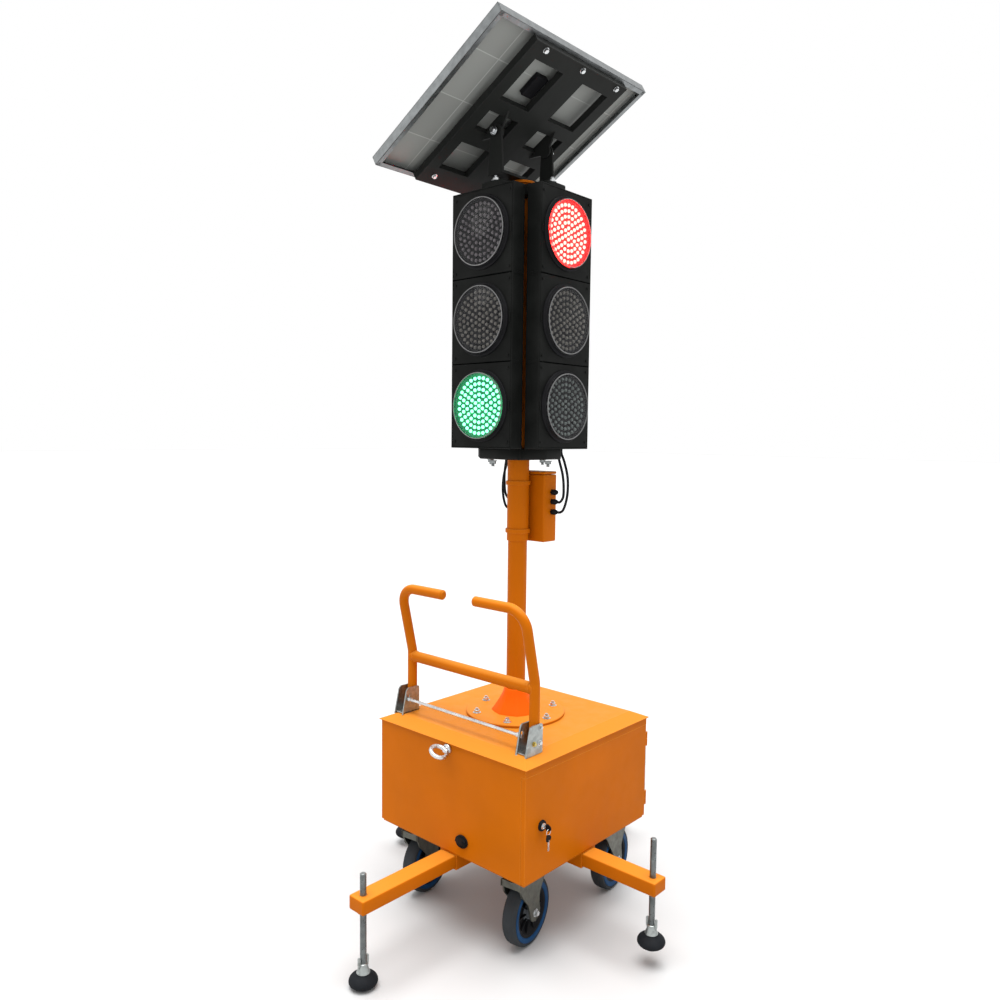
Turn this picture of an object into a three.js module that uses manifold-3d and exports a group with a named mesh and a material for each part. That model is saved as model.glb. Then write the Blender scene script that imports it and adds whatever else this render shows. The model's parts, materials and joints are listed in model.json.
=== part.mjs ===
// Portable traffic light: a battery cabinet on castors and outriggers, a mast, signal heads and a solar panel.
// Millimetres, +Z up. The origin is on the ground under the mast. The door is on +X, the handle on -Y.

import * as THREE from 'three';
import { mergeVertices } from 'three/addons/utils/BufferGeometryUtils.js';
import Module from 'manifold-3d';

const wasm = await Module();
wasm.setup();

// ---------------------------------------------------------------- driving dimensions

const GAP = 0.3; // between pieces that touch

const CABINET = { half: 300, bottom: 266, top: 590, wall: 4, lidTop: 612.3, lidFlat: 262 };
const DOOR = { inner: 284.8, half: 299.7, bottom: 266.5, top: 567, skin: 3, fold: 12 };
const HINGE = { x: 293, y: 307, outer: 7, pin: 4 };
const LOCK = { y: -229, z: 414, radius: 9 };
const EYE = { z: 573, ring: 24, wire: 6, reach: 36, turn: 1.13 };
const SOCKET_CAP = { x: 62, z: 312, width: 46, height: 38 };

const FLANGE = { radius: 157.5, thickness: 8, boltCircle: 128, bolts: 6 };
const MAST = { lowerRadius: 30, lowerWall: 4, top: 2250 };
const SLEEVE = { radius: 34, inner: 30.9, bottom: 1164, capRadius: 43, capThickness: 8 };

const HANDLE = {
  x: 255, y: -212, radius: 15, foot: 624, bend: 805, corner: 60, barZ: 787, barRadius: 17,
  gripY: -261, gripZ: 1015, gripEnd: 62,
};
const PIVOT = { y: -212, z: 638, pin: 5 };
const BRACKET = { inner: 235.5, outer: 270.5, plate: 4, front: -270, back: -200, top: 692, drop: 3.6 };
const LOCK_ROD = { y: -246, z: 656.3, radius: 5, half: 239.3, lift: 10 };

const ARM = { width: 60, bottom: 216, top: 256, wall: 3, length: 430, rodInset: 25 };
const ARM_SOCKET = { halfWidth: 34, bottom: 212, top: 260, end: 296 };
const JACK = {
  screwRadius: 9, screwTop: 317, screwFoot: 20.3, footRadius: 40, footHeight: 38, hubTop: 66, wingTop: 84,
};
const OUTRIGGERS = [
  { name: 'front', turn: -Math.PI / 2, reach: 615, lift: 0 },
  { name: 'door_side', turn: 0, reach: 520, lift: 53 },
  { name: 'rear', turn: Math.PI / 2, reach: 615, lift: 75 },
  { name: 'far_side', turn: Math.PI, reach: 520, lift: 24 },
];

const CASTOR = {
  x: 215, y: 214, offset: -15, plate: 240, trail: 52, radius: 100, halfWidth: 23, heading: 98,
};
const CASTORS = [
  { name: 'front_right', x: 1, y: -1 },
  { name: 'front_left', x: -1, y: -1 },
  { name: 'rear_right', x: 1, y: 1 },
  { name: 'rear_left', x: -1, y: 1 },
];

const HEAD = {
  half: 121.5, bottom: 1453, top: 2206, face: 176, shoulder: 126.5, back: 86.5, backHalf: 65, wall: 4,
};
const LAMP = {
  radius: 98.5, rim: 107, heights: [2080, 1829, 1578], rimFront: 188, lensEdge: 192, lensFront: 200, domeFlat: 55,
};
const HEADS = [
  { name: 'front', turn: 0 },
  { name: 'door_side', turn: Math.PI / 2 },
  { name: 'rear', turn: Math.PI },
  { name: 'far_side', turn: -Math.PI / 2 },
];
const CROSS = { half: 42, reach: 140, bolt: 118, bottom: [1416, 1452.7], top: [2206.3, 2240] };

const CONTROL_BOX = { half: 75, front: 37, back: 104, bottom: 1160, top: 1381, wall: 3 };
const GLAND = { y: 76, heights: [1316, 1286, 1254], radius: 9, tip: 97 };
const CABLE_RADIUS = 4;

const TILT = { z: 2380, angle: THREE.MathUtils.degToRad(29.4), leg: 115, legWall: 6, legHalf: 22, pin: 6 };
const PANEL = {
  under: 46.8, height: 30, width: 670, run: 571, offsetUp: 4.6, offsetSide: -17, flange: 15, skin: 8,
};
const LADDER = {
  under: 24.8,
  half: 212,
  wall: 3,
  rails: [[-212, -170], [-45, 45], [170, 212]],
  bars: [[-270, -202], [-90, -35], [38, 82], [231, 280]],
};

// ---------------------------------------------------------------- materials

function material(color, roughness, metalness) {
  return new THREE.MeshStandardMaterial({ color, roughness, metalness });
}

const orangePaint = material(0xcf690c, 0.45, 0.0);
const brightPaint = material(0xf05a0f, 0.5, 0.0);
const zinc = material(0xb9bfc2, 0.35, 0.9);
const galvanised = material(0x6f7874, 0.55, 0.8);
const greySteel = material(0x56564d, 0.5, 0.6);
const blackSteel = material(0x1c1d1e, 0.55, 0.3);
const blackPlastic = material(0x161816, 0.5, 0.0);
const rubber = material(0x1b1b1c, 0.85, 0.0);
const wheelBlue = material(0x0f3255, 0.6, 0.0);
const aluminium = material(0x969b9b, 0.4, 0.8);

// ---------------------------------------------------------------- solids

function solid(geometry) {
  const bare = geometry.clone();
  bare.deleteAttribute('normal');
  bare.deleteAttribute('uv');
  const merged = mergeVertices(bare, 1e-3);
  const triVerts = [];
  for (let i = 0; i < merged.index.count; i += 3) {
    const [a, b, c] = [0, 1, 2].map((k) => merged.index.getX(i + k));
    if (a !== b && b !== c && c !== a) triVerts.push(a, b, c);
  }
  const vertProperties = Float32Array.from(merged.attributes.position.array);
  const build = () => new wasm.Manifold(new wasm.Mesh({
    numProp: 3, vertProperties, triVerts: Uint32Array.from(triVerts),
  }));
  const first = build();
  if (first.volume() > 0) return first;
  triVerts.reverse();
  return build();
}

function box(x, y, z) {
  const geometry = new THREE.BoxGeometry(x[1] - x[0], y[1] - y[0], z[1] - z[0]);
  geometry.translate((x[0] + x[1]) / 2, (y[0] + y[1]) / 2, (z[0] + z[1]) / 2);
  return solid(geometry);
}

// A cylinder or cone along an axis; centre holds the other two coordinates in X, Y, Z order.
function rod(axis, radius, span, centre = [0, 0], sides = 16, endRadius = radius) {
  const geometry = new THREE.CylinderGeometry(endRadius, radius, span[1] - span[0], sides);
  const middle = (span[0] + span[1]) / 2;
  if (axis === 'x') geometry.rotateZ(-Math.PI / 2).translate(middle, centre[0], centre[1]);
  if (axis === 'y') geometry.translate(centre[0], middle, centre[1]);
  if (axis === 'z') geometry.rotateX(Math.PI / 2).translate(centre[0], centre[1], middle);
  return solid(geometry);
}

function pipe(axis, outer, inner, span, centre = [0, 0], sides = 16) {
  const bore = rod(axis, inner, [span[0] - 1, span[1] + 1], centre, sides);
  return rod(axis, outer, span, centre, sides).subtract(bore);
}

// A flat plate: its outline lies in YZ, XZ or XY, and it is as thick as the span along the axis.
function plate(axis, span, shape, curveSegments = 8) {
  const depth = span[1] - span[0];
  const geometry = new THREE.ExtrudeGeometry(shape, { depth, bevelEnabled: false, curveSegments });
  if (axis === 'x') geometry.rotateX(Math.PI / 2).rotateZ(Math.PI / 2).translate(span[0], 0, 0);
  if (axis === 'y') geometry.rotateX(Math.PI / 2).translate(0, span[1], 0);
  if (axis === 'z') geometry.translate(0, 0, span[0]);
  return solid(geometry);
}

function polygon(points) {
  return new THREE.Shape(points.map(([a, b]) => new THREE.Vector2(a, b)));
}

function turned(profile, sides, phase = 0) {
  const points = profile.map(([r, h]) => new THREE.Vector2(r, h));
  return new THREE.LatheGeometry(points, sides, phase);
}

// A round bar along straight stretches joined by bends.
function bentBar(points, radius, bend, steps, sides) {
  const path = new THREE.CurvePath();
  const corners = points.map((p) => new THREE.Vector3(...p));
  let start = corners[0];
  for (let i = 1; i < corners.length - 1; i += 1) {
    const before = corners[i].clone().sub(corners[i - 1]).normalize();
    const after = corners[i + 1].clone().sub(corners[i]).normalize();
    const cut = bend * Math.tan(before.angleTo(after) / 2);
    const enter = corners[i].clone().addScaledVector(before, -cut);
    const leave = corners[i].clone().addScaledVector(after, cut);
    path.add(new THREE.LineCurve3(start, enter));
    path.add(new THREE.QuadraticBezierCurve3(enter, corners[i], leave));
    start = leave;
  }
  path.add(new THREE.LineCurve3(start, corners[corners.length - 1]));
  return alongPath(path, radius, steps, sides);
}

function alongPath(path, radius, steps, sides) {
  const section = [];
  for (let i = 0; i < sides; i += 1) {
    const angle = (2 * Math.PI * i) / sides;
    section.push([radius * Math.cos(angle), radius * Math.sin(angle)]);
  }
  const sweep = { steps, bevelEnabled: false, extrudePath: path };
  return solid(new THREE.ExtrudeGeometry(polygon(section), sweep));
}

function joined(pieces) {
  return pieces.reduce((whole, piece) => whole.add(piece));
}

function cut(body, holes) {
  return holes.reduce((rest, hole) => rest.subtract(hole), body);
}

function mirrored(make) {
  return [-1, 1].map((side) => make(side));
}

// A span on one side of zero, from a to b away from it.
function sideSpan(side, a, b) {
  return side > 0 ? [a, b] : [-b, -a];
}

const object = new THREE.Group();

function add(name, body, surface, parent = object) {
  const mesh = body.getMesh();
  const geometry = new THREE.BufferGeometry();
  geometry.setAttribute('position', new THREE.BufferAttribute(Float32Array.from(mesh.vertProperties), 3));
  geometry.setIndex(Array.from(mesh.triVerts));
  const node = new THREE.Mesh(geometry, surface);
  node.name = name;
  parent.add(node);
}

function placed(x, y, z, turn = 0) {
  const group = new THREE.Group();
  group.position.set(x, y, z);
  group.rotation.z = turn;
  object.add(group);
  return group;
}

// ---------------------------------------------------------------- cabinet and chassis

function chassis() {
  const { halfWidth, bottom, top, end } = ARM_SOCKET;
  const deck = box([-end, end], [-end, end], [top - 1, CABINET.bottom - GAP]);
  const alongX = box([-end, end], [-halfWidth, halfWidth], [bottom, top]);
  const alongY = box([-halfWidth, halfWidth], [-end, end], [bottom, top]);
  const bore = ARM.width / 2 + 0.5;
  const heights = [ARM.bottom - 0.5, ARM.top + 0.5];
  const bores = [
    box([-end - 1, end + 1], [-bore, bore], heights),
    box([-bore, bore], [-end - 1, end + 1], heights),
  ];
  const pads = CASTORS.map((c) => box(
    [CASTOR.offset + c.x * CASTOR.x - 55, CASTOR.offset + c.x * CASTOR.x + 55],
    [c.y * CASTOR.y - 50, c.y * CASTOR.y + 50],
    [CASTOR.plate, top],
  ));
  return cut(joined([deck, alongX, alongY, ...pads]), bores);
}

function hingeKnuckle(z, length) {
  return pipe('z', HINGE.outer, HINGE.pin + 0.6, [z, z + length], [HINGE.x, HINGE.y]);
}

function cabinetShell() {
  const { half, bottom, top, wall } = CABINET;
  const inside = half - wall;
  const outer = box([-half, half], [-half, half], [bottom, top]);
  const doorway = DOOR.top + 0.5;
  const room = box([-inside, inside], [-inside, inside], [bottom + wall, top + 1]);
  const mouth = box([DOOR.inner - GAP, half + 1], [-half - 1, half + 1], [bottom - 1, doorway]);
  const jambs = mirrored((side) => box(
    [DOOR.inner - GAP - wall, DOOR.inner - GAP],
    sideSpan(side, 276, inside + 1),
    [bottom + 1, doorway + wall],
  ));
  const head = box([DOOR.inner - GAP - wall, half], [-inside - 1, inside + 1], [doorway, doorway + wall]);
  const knuckles = [300, 520].map((z) => hingeKnuckle(z, 20));
  const leaves = [300, 520].map((z) => box([262, HINGE.x - 5], [half + 0.2, half + 4], [z, z + 20]));
  const welds = [300, 520].map((z) => box([262, DOOR.inner - 0.4], [half - 1, half + 1], [z, z + 20]));
  const pinRoom = rod('z', HINGE.pin + 0.6, [299, 541], [HINGE.x, HINGE.y]);
  const body = cut(outer, [room, mouth]);
  return joined([body, ...jambs, head, ...knuckles, ...leaves, ...welds]).subtract(pinRoom);
}

function cabinetTop() {
  const { half, top, lidTop, lidFlat, wall } = CABINET;
  const slope = half + 6 - lidFlat;
  const hip = (reach, inset, z) => solid(new THREE.CylinderGeometry(
    (reach - inset) * Math.SQRT2, reach * Math.SQRT2, z[1] - z[0], 4,
  ).rotateY(Math.PI / 4).rotateX(Math.PI / 2).translate(0, 0, (z[0] + z[1]) / 2));
  const rim = box([-half - 6, half + 6], [-half - 6, half + 6], [top + GAP, top + 2.3]);
  const roof = hip(half + 6, slope, [top + 2, lidTop]);
  const hollow = hip(half - 4, slope - 4, [top, lidTop - wall]);
  return rim.add(roof).subtract(hollow);
}

function cabinetDoor() {
  const { inner, half, bottom, top, skin, fold } = DOOR;
  const outer = CABINET.half;
  const pan = box([inner, outer], [-half, half], [bottom, top]);
  const recess = box([inner - 1, outer - skin], [-half + fold, half - fold], [bottom + fold, top - fold]);
  const boss = rod('x', 15, [inner + 3, outer + 3], [LOCK.y, LOCK.z], 12);
  const keyhole = rod('x', LOCK.radius + 1, [inner - 1, outer + 4], [LOCK.y, LOCK.z], 12);
  const knuckles = [321, 495].map((z) => hingeKnuckle(z, 24));
  const leaves = [321, 495].map((z) => box([HINGE.x - 5, HINGE.x + 5], [half - 3, half + 2.5], [z, z + 24]));
  const pinRoom = rod('z', HINGE.pin + 0.6, [320, 520], [HINGE.x, HINGE.y]);
  return cut(joined([pan.subtract(recess), boss, ...knuckles, ...leaves]), [keyhole, pinRoom]);
}

function lockKey() {
  const plug = rod('x', LOCK.radius, [272, 305], [LOCK.y, LOCK.z], 12);
  const tongue = box([272, 276], [-274, LOCK.y], [LOCK.z - 7, LOCK.z + 7]);
  const bow = box([304, 332], [LOCK.y - 1.25, LOCK.y + 1.25], [LOCK.z - 11, LOCK.z + 11]);
  const eye = rod('y', 4, [LOCK.y - 3, LOCK.y + 3], [325, LOCK.z], 12);
  return joined([plug, tongue, bow]).subtract(eye);
}

function spareKey() {
  const hang = LOCK.z - 2.6;
  const ring = solid(new THREE.TorusGeometry(8.5, 1.1, 5, 10)
    .rotateY(Math.PI / 2).translate(325, LOCK.y, hang - 8.5));
  const bow = rod('x', 10, [324, 326.4], [LOCK.y, hang - 26], 14);
  const blade = box([324, 326.4], [LOCK.y - 3.5, LOCK.y + 3.5], [hang - 62, hang - 30]);
  return joined([ring, bow, blade]);
}

function liftingEye() {
  const wall = -CABINET.half - GAP;
  const ring = solid(new THREE.TorusGeometry(EYE.ring, EYE.wire, 6, 16)
    .rotateY(Math.PI / 2 - EYE.turn).translate(0, wall - EYE.reach, EYE.z));
  const collar = rod('y', 14, [wall - 8, wall], [0, EYE.z], 12);
  const neck = rod('y', 9, [wall - 16, wall - 4], [0, EYE.z], 8);
  return joined([ring, collar, neck]);
}

function chargingSocketCap() {
  const { x, z, width, height } = SOCKET_CAP;
  const oval = (grow) => new THREE.Shape()
    .absellipse(x, z, width / 2 + grow, height / 2 + grow, 0, 2 * Math.PI);
  const wall = -CABINET.half - GAP;
  const ring = plate('y', [wall - 5, wall], oval(0), 12);
  const dome = plate('y', [wall - 11, wall - 4], oval(-5), 12);
  return ring.add(dome);
}

// ---------------------------------------------------------------- mast

function mastBase() {
  const seat = CABINET.lidTop + GAP;
  const flange = rod('z', FLANGE.radius, [seat, seat + FLANGE.thickness], [0, 0], 30);
  const skirt = rod('z', 80, [seat + 4, 692], [0, 0], 8, 36);
  const bolts = [];
  for (let i = 0; i < FLANGE.bolts; i += 1) {
    const angle = (2 * Math.PI * i) / FLANGE.bolts;
    const centre = [FLANGE.boltCircle * Math.cos(angle), FLANGE.boltCircle * Math.sin(angle)];
    bolts.push(rod('z', 12, [seat + 4, seat + FLANGE.thickness + 10], centre, 6));
  }
  const bore = rod('z', MAST.lowerRadius + 0.6, [600, 700], [0, 0], 24);
  return joined([flange, skirt, ...bolts]).subtract(bore);
}

function mastSleeve() {
  const { radius, inner, bottom, capRadius, capThickness } = SLEEVE;
  const tube = rod('z', radius, [bottom, MAST.top + 2], [0, 0], 24);
  const cap = rod('z', capRadius, [MAST.top, MAST.top + capThickness], [0, 0], 24);
  return tube.add(cap).subtract(rod('z', inner, [bottom - 1, MAST.top], [0, 0], 24));
}

function headCross(span, boltSpan) {
  const { half, reach, bolt } = CROSS;
  const bars = [
    box([-reach, reach], [-half, half], span),
    box([-half, half], [-reach, reach], span),
  ];
  const bolts = [[bolt, 0], [0, bolt], [-bolt, 0], [0, -bolt]].map((at) => rod('z', 11, boltSpan, at, 6));
  const bore = rod('z', SLEEVE.radius + 0.5, [span[0] - 1, span[1] + 1], [0, 0], 24);
  return joined([...bars, ...bolts]).subtract(bore);
}

function controlBox() {
  const { half, front, back, bottom, top, wall } = CONTROL_BOX;
  const middle = (front + back) / 2;
  const outline = polygon([
    [-half, front], [half, front], [half, back - 12],
    [half - 12, back], [12 - half, back], [-half, back - 12],
  ]);
  const casing = plate('z', [bottom, top], outline);
  const room = box([wall - half, half - wall], [front + wall, back - 12], [bottom + wall, top - wall]);
  const drain = rod('z', 6, [bottom - 1, bottom + wall + 1], [0, middle], 10);
  const glands = mirrored((side) => GLAND.heights.map((z) => (
    rod('x', GLAND.radius, sideSpan(side, half - wall + 1, GLAND.tip), [GLAND.y, z], 6)
  ))).flat();
  const bands = [1195, 1345].map((z) => rod('z', 39, [z - 6, z + 6], [0, 0], 16));
  const sleeveRoom = rod('z', SLEEVE.radius + 1.2, [bottom - 1, top + 1], [0, 0], 16);
  return cut(joined([casing.subtract(room), ...glands, ...bands]), [drain, sleeveRoom]);
}

// ---------------------------------------------------------------- signal heads

function signalHead() {
  const { half, bottom, top, face, shoulder, back, backHalf, wall } = HEAD;
  const outline = (inset, front) => polygon([
    [inset - half, -front], [half - inset, -front],
    [half - inset, -shoulder - inset], [half - 3.5 - inset, -shoulder - inset],
    [backHalf - inset, -back - inset], [inset - backHalf, -back - inset],
    [inset + 3.5 - half, -shoulder - inset], [inset - half, -shoulder - inset],
  ]);
  return plate('z', [bottom, top], outline(0, face))
    .subtract(plate('z', [bottom + wall, top - wall], outline(wall, face + 10)));
}

function lampPanel() {
  const { half, bottom, top, face, wall } = HEAD;
  const inset = wall + GAP;
  const board = box([inset - half, half - inset], [-face, 6 - face], [bottom + inset, top - inset]);
  const lamps = LAMP.heights.map((z) => {
    const rim = pipe('y', LAMP.rim, LAMP.radius - 1, [-LAMP.rimFront, 2 - face], [0, z], 18);
    const barrel = rod('y', LAMP.radius, [-LAMP.lensEdge, 2 - face], [0, z], 18);
    const dome = rod('y', LAMP.domeFlat, [-LAMP.lensFront, -LAMP.lensEdge], [0, z], 18, LAMP.radius);
    return joined([rim, barrel, dome]);
  });
  return joined([board, ...lamps]);
}

// ---------------------------------------------------------------- handle

function handleBracket(side) {
  const { inner, outer, plate: thick, front, back, top, drop } = BRACKET;
  const seat = CABINET.lidTop + GAP;
  const edge = [
    [back, top - 8], [back - 8, top], [front + 26, top], [front + 18, top - 8], [front, seat - drop],
  ];
  const innerSide = polygon([[-CABINET.lidFlat, seat], [back, seat], ...edge]);
  const outerSide = polygon([[back, seat - drop], ...edge]);
  const sides = [[inner, innerSide], [outer, outerSide]].map(([x, outline]) => (
    plate('x', sideSpan(side, x, x + thick), outline)
  ));
  const foot = box(sideSpan(side, inner, outer + thick), [front + 4, back], [seat, seat + 4]);
  const pin = rod('x', PIVOT.pin, sideSpan(side, inner, outer + thick + 3), [PIVOT.y, PIVOT.z], 12);
  const nuts = [[-236, 640], [-208, 680]].map((at) => (
    rod('x', 6, sideSpan(side, outer + thick - 1, outer + thick + 3), at, 6)
  ));
  const slot = box(
    sideSpan(side, inner - 1, inner + thick + 0.4),
    [LOCK_ROD.y - LOCK_ROD.radius - 0.6, LOCK_ROD.y + LOCK_ROD.radius + 0.6],
    [LOCK_ROD.z - LOCK_ROD.radius - 0.6, LOCK_ROD.z + LOCK_ROD.radius + LOCK_ROD.lift + 0.6],
  );
  return joined([...sides, foot, pin, ...nuts]).subtract(slot);
}

function handle() {
  const { x, y, radius, foot, bend, gripY, gripZ, gripEnd, barZ, barRadius, corner } = HANDLE;
  const posts = mirrored((side) => bentBar(
    [[side * x, y, foot], [side * x, y, bend], [side * x, gripY, gripZ], [side * gripEnd, gripY, gripZ]],
    radius, corner, 18, 10,
  ));
  const bar = rod('x', barRadius, [-x, x], [y, barZ], 10);
  const pinHole = rod('x', PIVOT.pin + 0.6, [-x - 20, x + 20], [PIVOT.y, PIVOT.z], 12);
  return joined([...posts, bar]).subtract(pinHole);
}

// ---------------------------------------------------------------- outriggers, built along +X

function outriggerArm(reach) {
  const { width, bottom, top, wall, length, rodInset } = ARM;
  const end = reach + rodInset;
  const half = width / 2;
  const bar = box([end - length, end], [-half, half], [bottom, top]);
  const room = box([end - length - 1, end - wall], [wall - half, half - wall], [bottom + wall, top - wall]);
  const bush = rod('z', 16, [bottom - 8, top], [reach, 0], 12);
  const bore = rod('z', JACK.screwRadius + 0.7, [bottom - 9, top + 1], [reach, 0], 16);
  return bar.subtract(room).add(bush).subtract(bore);
}

function jackScrew() {
  const { screwRadius, screwTop, screwFoot, footHeight, hubTop, wingTop } = JACK;
  const screw = rod('z', screwRadius, [screwFoot, screwTop], [0, 0], 16);
  const hub = rod('z', 19, [footHeight + GAP, hubTop], [0, 0], 12, 12.5);
  const ears = mirrored((side) => plate('y', [-3, 3], polygon([
    [side * 6, 50], [side * 14, 50], [side * 18, 62],
    [side * 18, wingTop], [side * 11, wingTop], [side * 6, 64],
  ])));
  return joined([screw, hub, ...ears]);
}

function jackFoot() {
  const { footRadius, footHeight, screwRadius, screwFoot } = JACK;
  const bore = screwRadius + 1;
  const floor = screwFoot - GAP;
  const profile = [
    [0, 0], [27, 0], [36, 5], [footRadius, 14], [37, 24], [29, 33], [20, footHeight],
    [bore, footHeight], [bore, floor], [0, floor],
  ];
  return solid(turned(profile, 14).rotateX(Math.PI / 2));
}

// ---------------------------------------------------------------- castors, built trailing along +X

function castorFork() {
  const { plate: top, trail, radius, halfWidth } = CASTOR;
  const crown = box([-38, 42], [-halfWidth - 9, halfWidth + 9], [206, 222]);
  const raceway = rod('z', 38, [221, top - GAP], [0, 0], 12);
  const leg = new THREE.Shape();
  leg.moveTo(-32, 222);
  leg.lineTo(100, 222);
  leg.lineTo(110, 208);
  leg.lineTo(trail + 22, radius + 48);
  leg.lineTo(trail + 25, radius);
  leg.absarc(trail, radius, 25, 0, -Math.PI, true);
  leg.lineTo(trail - 48, radius + 50);
  leg.lineTo(-32, 204);
  const legs = mirrored((side) => plate('y', sideSpan(side, halfWidth + 4, halfWidth + 9), leg, 5));
  const axle = rod('y', 6, [-halfWidth - 13, halfWidth + 13], [trail, radius], 12);
  const nutSpan = (side) => sideSpan(side, halfWidth + 8, halfWidth + 15);
  const nuts = mirrored((side) => rod('y', 10, nutSpan(side), [trail, radius], 6));
  const ears = mirrored((side) => box([38, 56], sideSpan(side, 20.5, 25), [206, 221]));
  const pedalPin = rod('y', 2.5, [-22, 22], [50, 213], 8);
  return joined([crown, raceway, ...legs, axle, ...nuts, ...ears, pedalPin]);
}

function castorWheel() {
  const { radius, halfWidth, trail } = CASTOR;
  const sides = 20;
  const tread = radius / Math.cos(Math.PI / sides);
  const half = [
    [6.9, -halfWidth - 3], [20, -halfWidth - 3], [20, -12], [72, -12], [74, -halfWidth],
    [92, -halfWidth], [tread, 12 - halfWidth],
  ];
  const otherHalf = half.map(([r, h]) => [r, -h]).reverse();
  const profile = [...half, ...otherHalf, half[0]];
  return solid(turned(profile, sides, Math.PI / sides).translate(trail, 0, radius));
}

function brakePedal() {
  const lever = plate('y', [-18, 18], polygon([
    [47, 218], [47, 213], [112, 201], [148, 186], [166, 170], [171, 176], [152, 194], [112, 207],
  ]));
  const boss = rod('y', 6, [-19, 19], [50, 213], 12);
  return lever.add(boss).subtract(rod('y', 3.1, [-20, 20], [50, 213], 12));
}

// ---------------------------------------------------------------- solar panel, built flat on its tilt pivot

function tiltYoke() {
  const { z, leg, legWall, legHalf, pin } = TILT;
  const seat = MAST.top + SLEEVE.capThickness + GAP;
  const base = box([-30, 30], [-leg - legWall, leg + legWall], [seat, seat + 8]);
  const shape = new THREE.Shape();
  shape.moveTo(-30, seat);
  shape.lineTo(30, seat);
  shape.lineTo(legHalf, z);
  shape.absarc(0, z, legHalf, 0, Math.PI);
  const legs = mirrored((side) => plate('y', sideSpan(side, leg, leg + legWall), shape, 10));
  const bolts = mirrored((side) => rod('z', 9, [seat + 4, seat + 14], [0, side * 28], 6));
  const hole = rod('y', pin + 0.8, [-leg - 20, leg + 20], [0, z], 16);
  return joined([base, ...legs, ...bolts]).subtract(hole);
}

function panelLadderFrame() {
  const { under, half, wall, rails, bars } = LADDER;
  const length = [bars[0][0], bars[bars.length - 1][1]];
  const spans = [...bars.map((run) => [run, [-half, half]]), ...rails.map((width) => [length, width])];
  const channels = spans.map(([run, width]) => box(run, width, [under, PANEL.under - GAP]));
  const hollows = spans.map(([run, width]) => box(
    [run[0] + wall, run[1] - wall], [width[0] + wall, width[1] - wall], [under + wall, PANEL.under],
  ));
  const frame = cut(joined(channels), hollows);
  const ear = new THREE.Shape();
  ear.moveTo(-60, 40);
  ear.lineTo(-60, 24);
  ear.lineTo(-20, 0);
  ear.absarc(0, 0, 20, Math.PI, 2 * Math.PI);
  ear.lineTo(60, 24);
  ear.lineTo(60, 40);
  const inside = TILT.leg - 3;
  const ears = mirrored((side) => plate('y', sideSpan(side, inside - 6, inside), ear, 8));
  const pins = mirrored((side) => rod('y', TILT.pin, sideSpan(side, inside - 5, TILT.leg + 14), [0, 0], 12));
  const outside = TILT.leg + TILT.legWall + 1.5;
  const nuts = mirrored((side) => rod('y', 11, sideSpan(side, outside, outside + 8), [0, 0], 6));
  const bolts = [-161, 5, 172].map((y) => rod('z', 7, [under - 5, under + 2], [266, y], 6));
  return joined([frame, ...ears, ...pins, ...nuts, ...bolts]);
}

function solarPanel() {
  const { under, height, width, run, offsetUp, offsetSide, flange, skin } = PANEL;
  const spans = (inset) => [
    [offsetUp - run / 2 + inset, offsetUp + run / 2 - inset],
    [offsetSide - width / 2 + inset, offsetSide + width / 2 - inset],
  ];
  const tray = box(...spans(0), [under, under + height]);
  return tray.subtract(box(...spans(flange), [under - 1, under + height - skin]));
}

// ---------------------------------------------------------------- cables from the glands up into the heads

// Each route starts square to its gland and ends square to the floor of a head. The last value is the side.
const OUTER_LOOP = [[118, 76, 1260], [133, 77, 1300], [133, 80, 1360], [118, 82, 1410]];
const INNER_LOOP = [[119, 75, 1300], [123, 73, 1335], [120, 70, 1375], [110, 66, 1415]];
const CABLES = [
  ['cable_right_outer', 1254, OUTER_LOOP, [106, 80], 1],
  ['cable_right_inner', 1286, INNER_LOOP, [104, 64], 1],
  ['cable_left_outer', 1254, OUTER_LOOP, [106, 80], -1],
  ['cable_left_inner', 1286, INNER_LOOP, [104, 64], -1],
];

function cable(glandZ, middle, entry, side) {
  const start = [[GLAND.tip + 0.5, GLAND.y, glandZ], [GLAND.tip + 9, GLAND.y, glandZ]];
  const end = [[...entry, HEAD.bottom - 12], [...entry, HEAD.bottom - 0.5]];
  const path = new THREE.CatmullRomCurve3(
    [...start, ...middle, ...end].map(([x, y, z]) => new THREE.Vector3(side * x, y, z)),
  );
  return alongPath(path, CABLE_RADIUS, 18, 8);
}

// ---------------------------------------------------------------- assembly

add('chassis', chassis(), orangePaint);
add('cabinet_shell', cabinetShell(), orangePaint);
add('cabinet_top', cabinetTop(), orangePaint);
add('cabinet_door', cabinetDoor(), orangePaint);
add('door_hinge_pin', rod('z', HINGE.pin, [298, 542], [HINGE.x, HINGE.y], 12), zinc);
add('lock_key', lockKey(), zinc);
add('spare_key', spareKey(), zinc);
add('lifting_eye', liftingEye(), zinc);
add('charging_socket_cap', chargingSocketCap(), blackPlastic);
add('battery', box([-250, 10], [-150, 150], [CABINET.bottom + 4 + GAP, 490]), blackPlastic);
add('charge_controller', box([-296 + GAP, -250], [-70, 70], [505, 575]), blackPlastic);

add('mast_base', mastBase(), brightPaint);
add('mast_lower_tube', pipe('z', MAST.lowerRadius, MAST.lowerRadius - MAST.lowerWall,
  [CABINET.lidTop + GAP, MAST.top - GAP], [0, 0], 24), orangePaint);
add('mast_sleeve', mastSleeve(), orangePaint);
add('control_box', controlBox(), orangePaint);
add('head_bracket_bottom', headCross(CROSS.bottom, [1395, 1417]), blackSteel);
add('head_bracket_top', headCross(CROSS.top, [2239, 2256]), blackSteel);

for (const { name, turn } of HEADS) {
  const place = placed(0, 0, 0, turn);
  add(`signal_head_${name}`, signalHead(), blackPlastic, place);
  add(`lamp_panel_${name}`, lampPanel(), blackPlastic, place);
}

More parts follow.
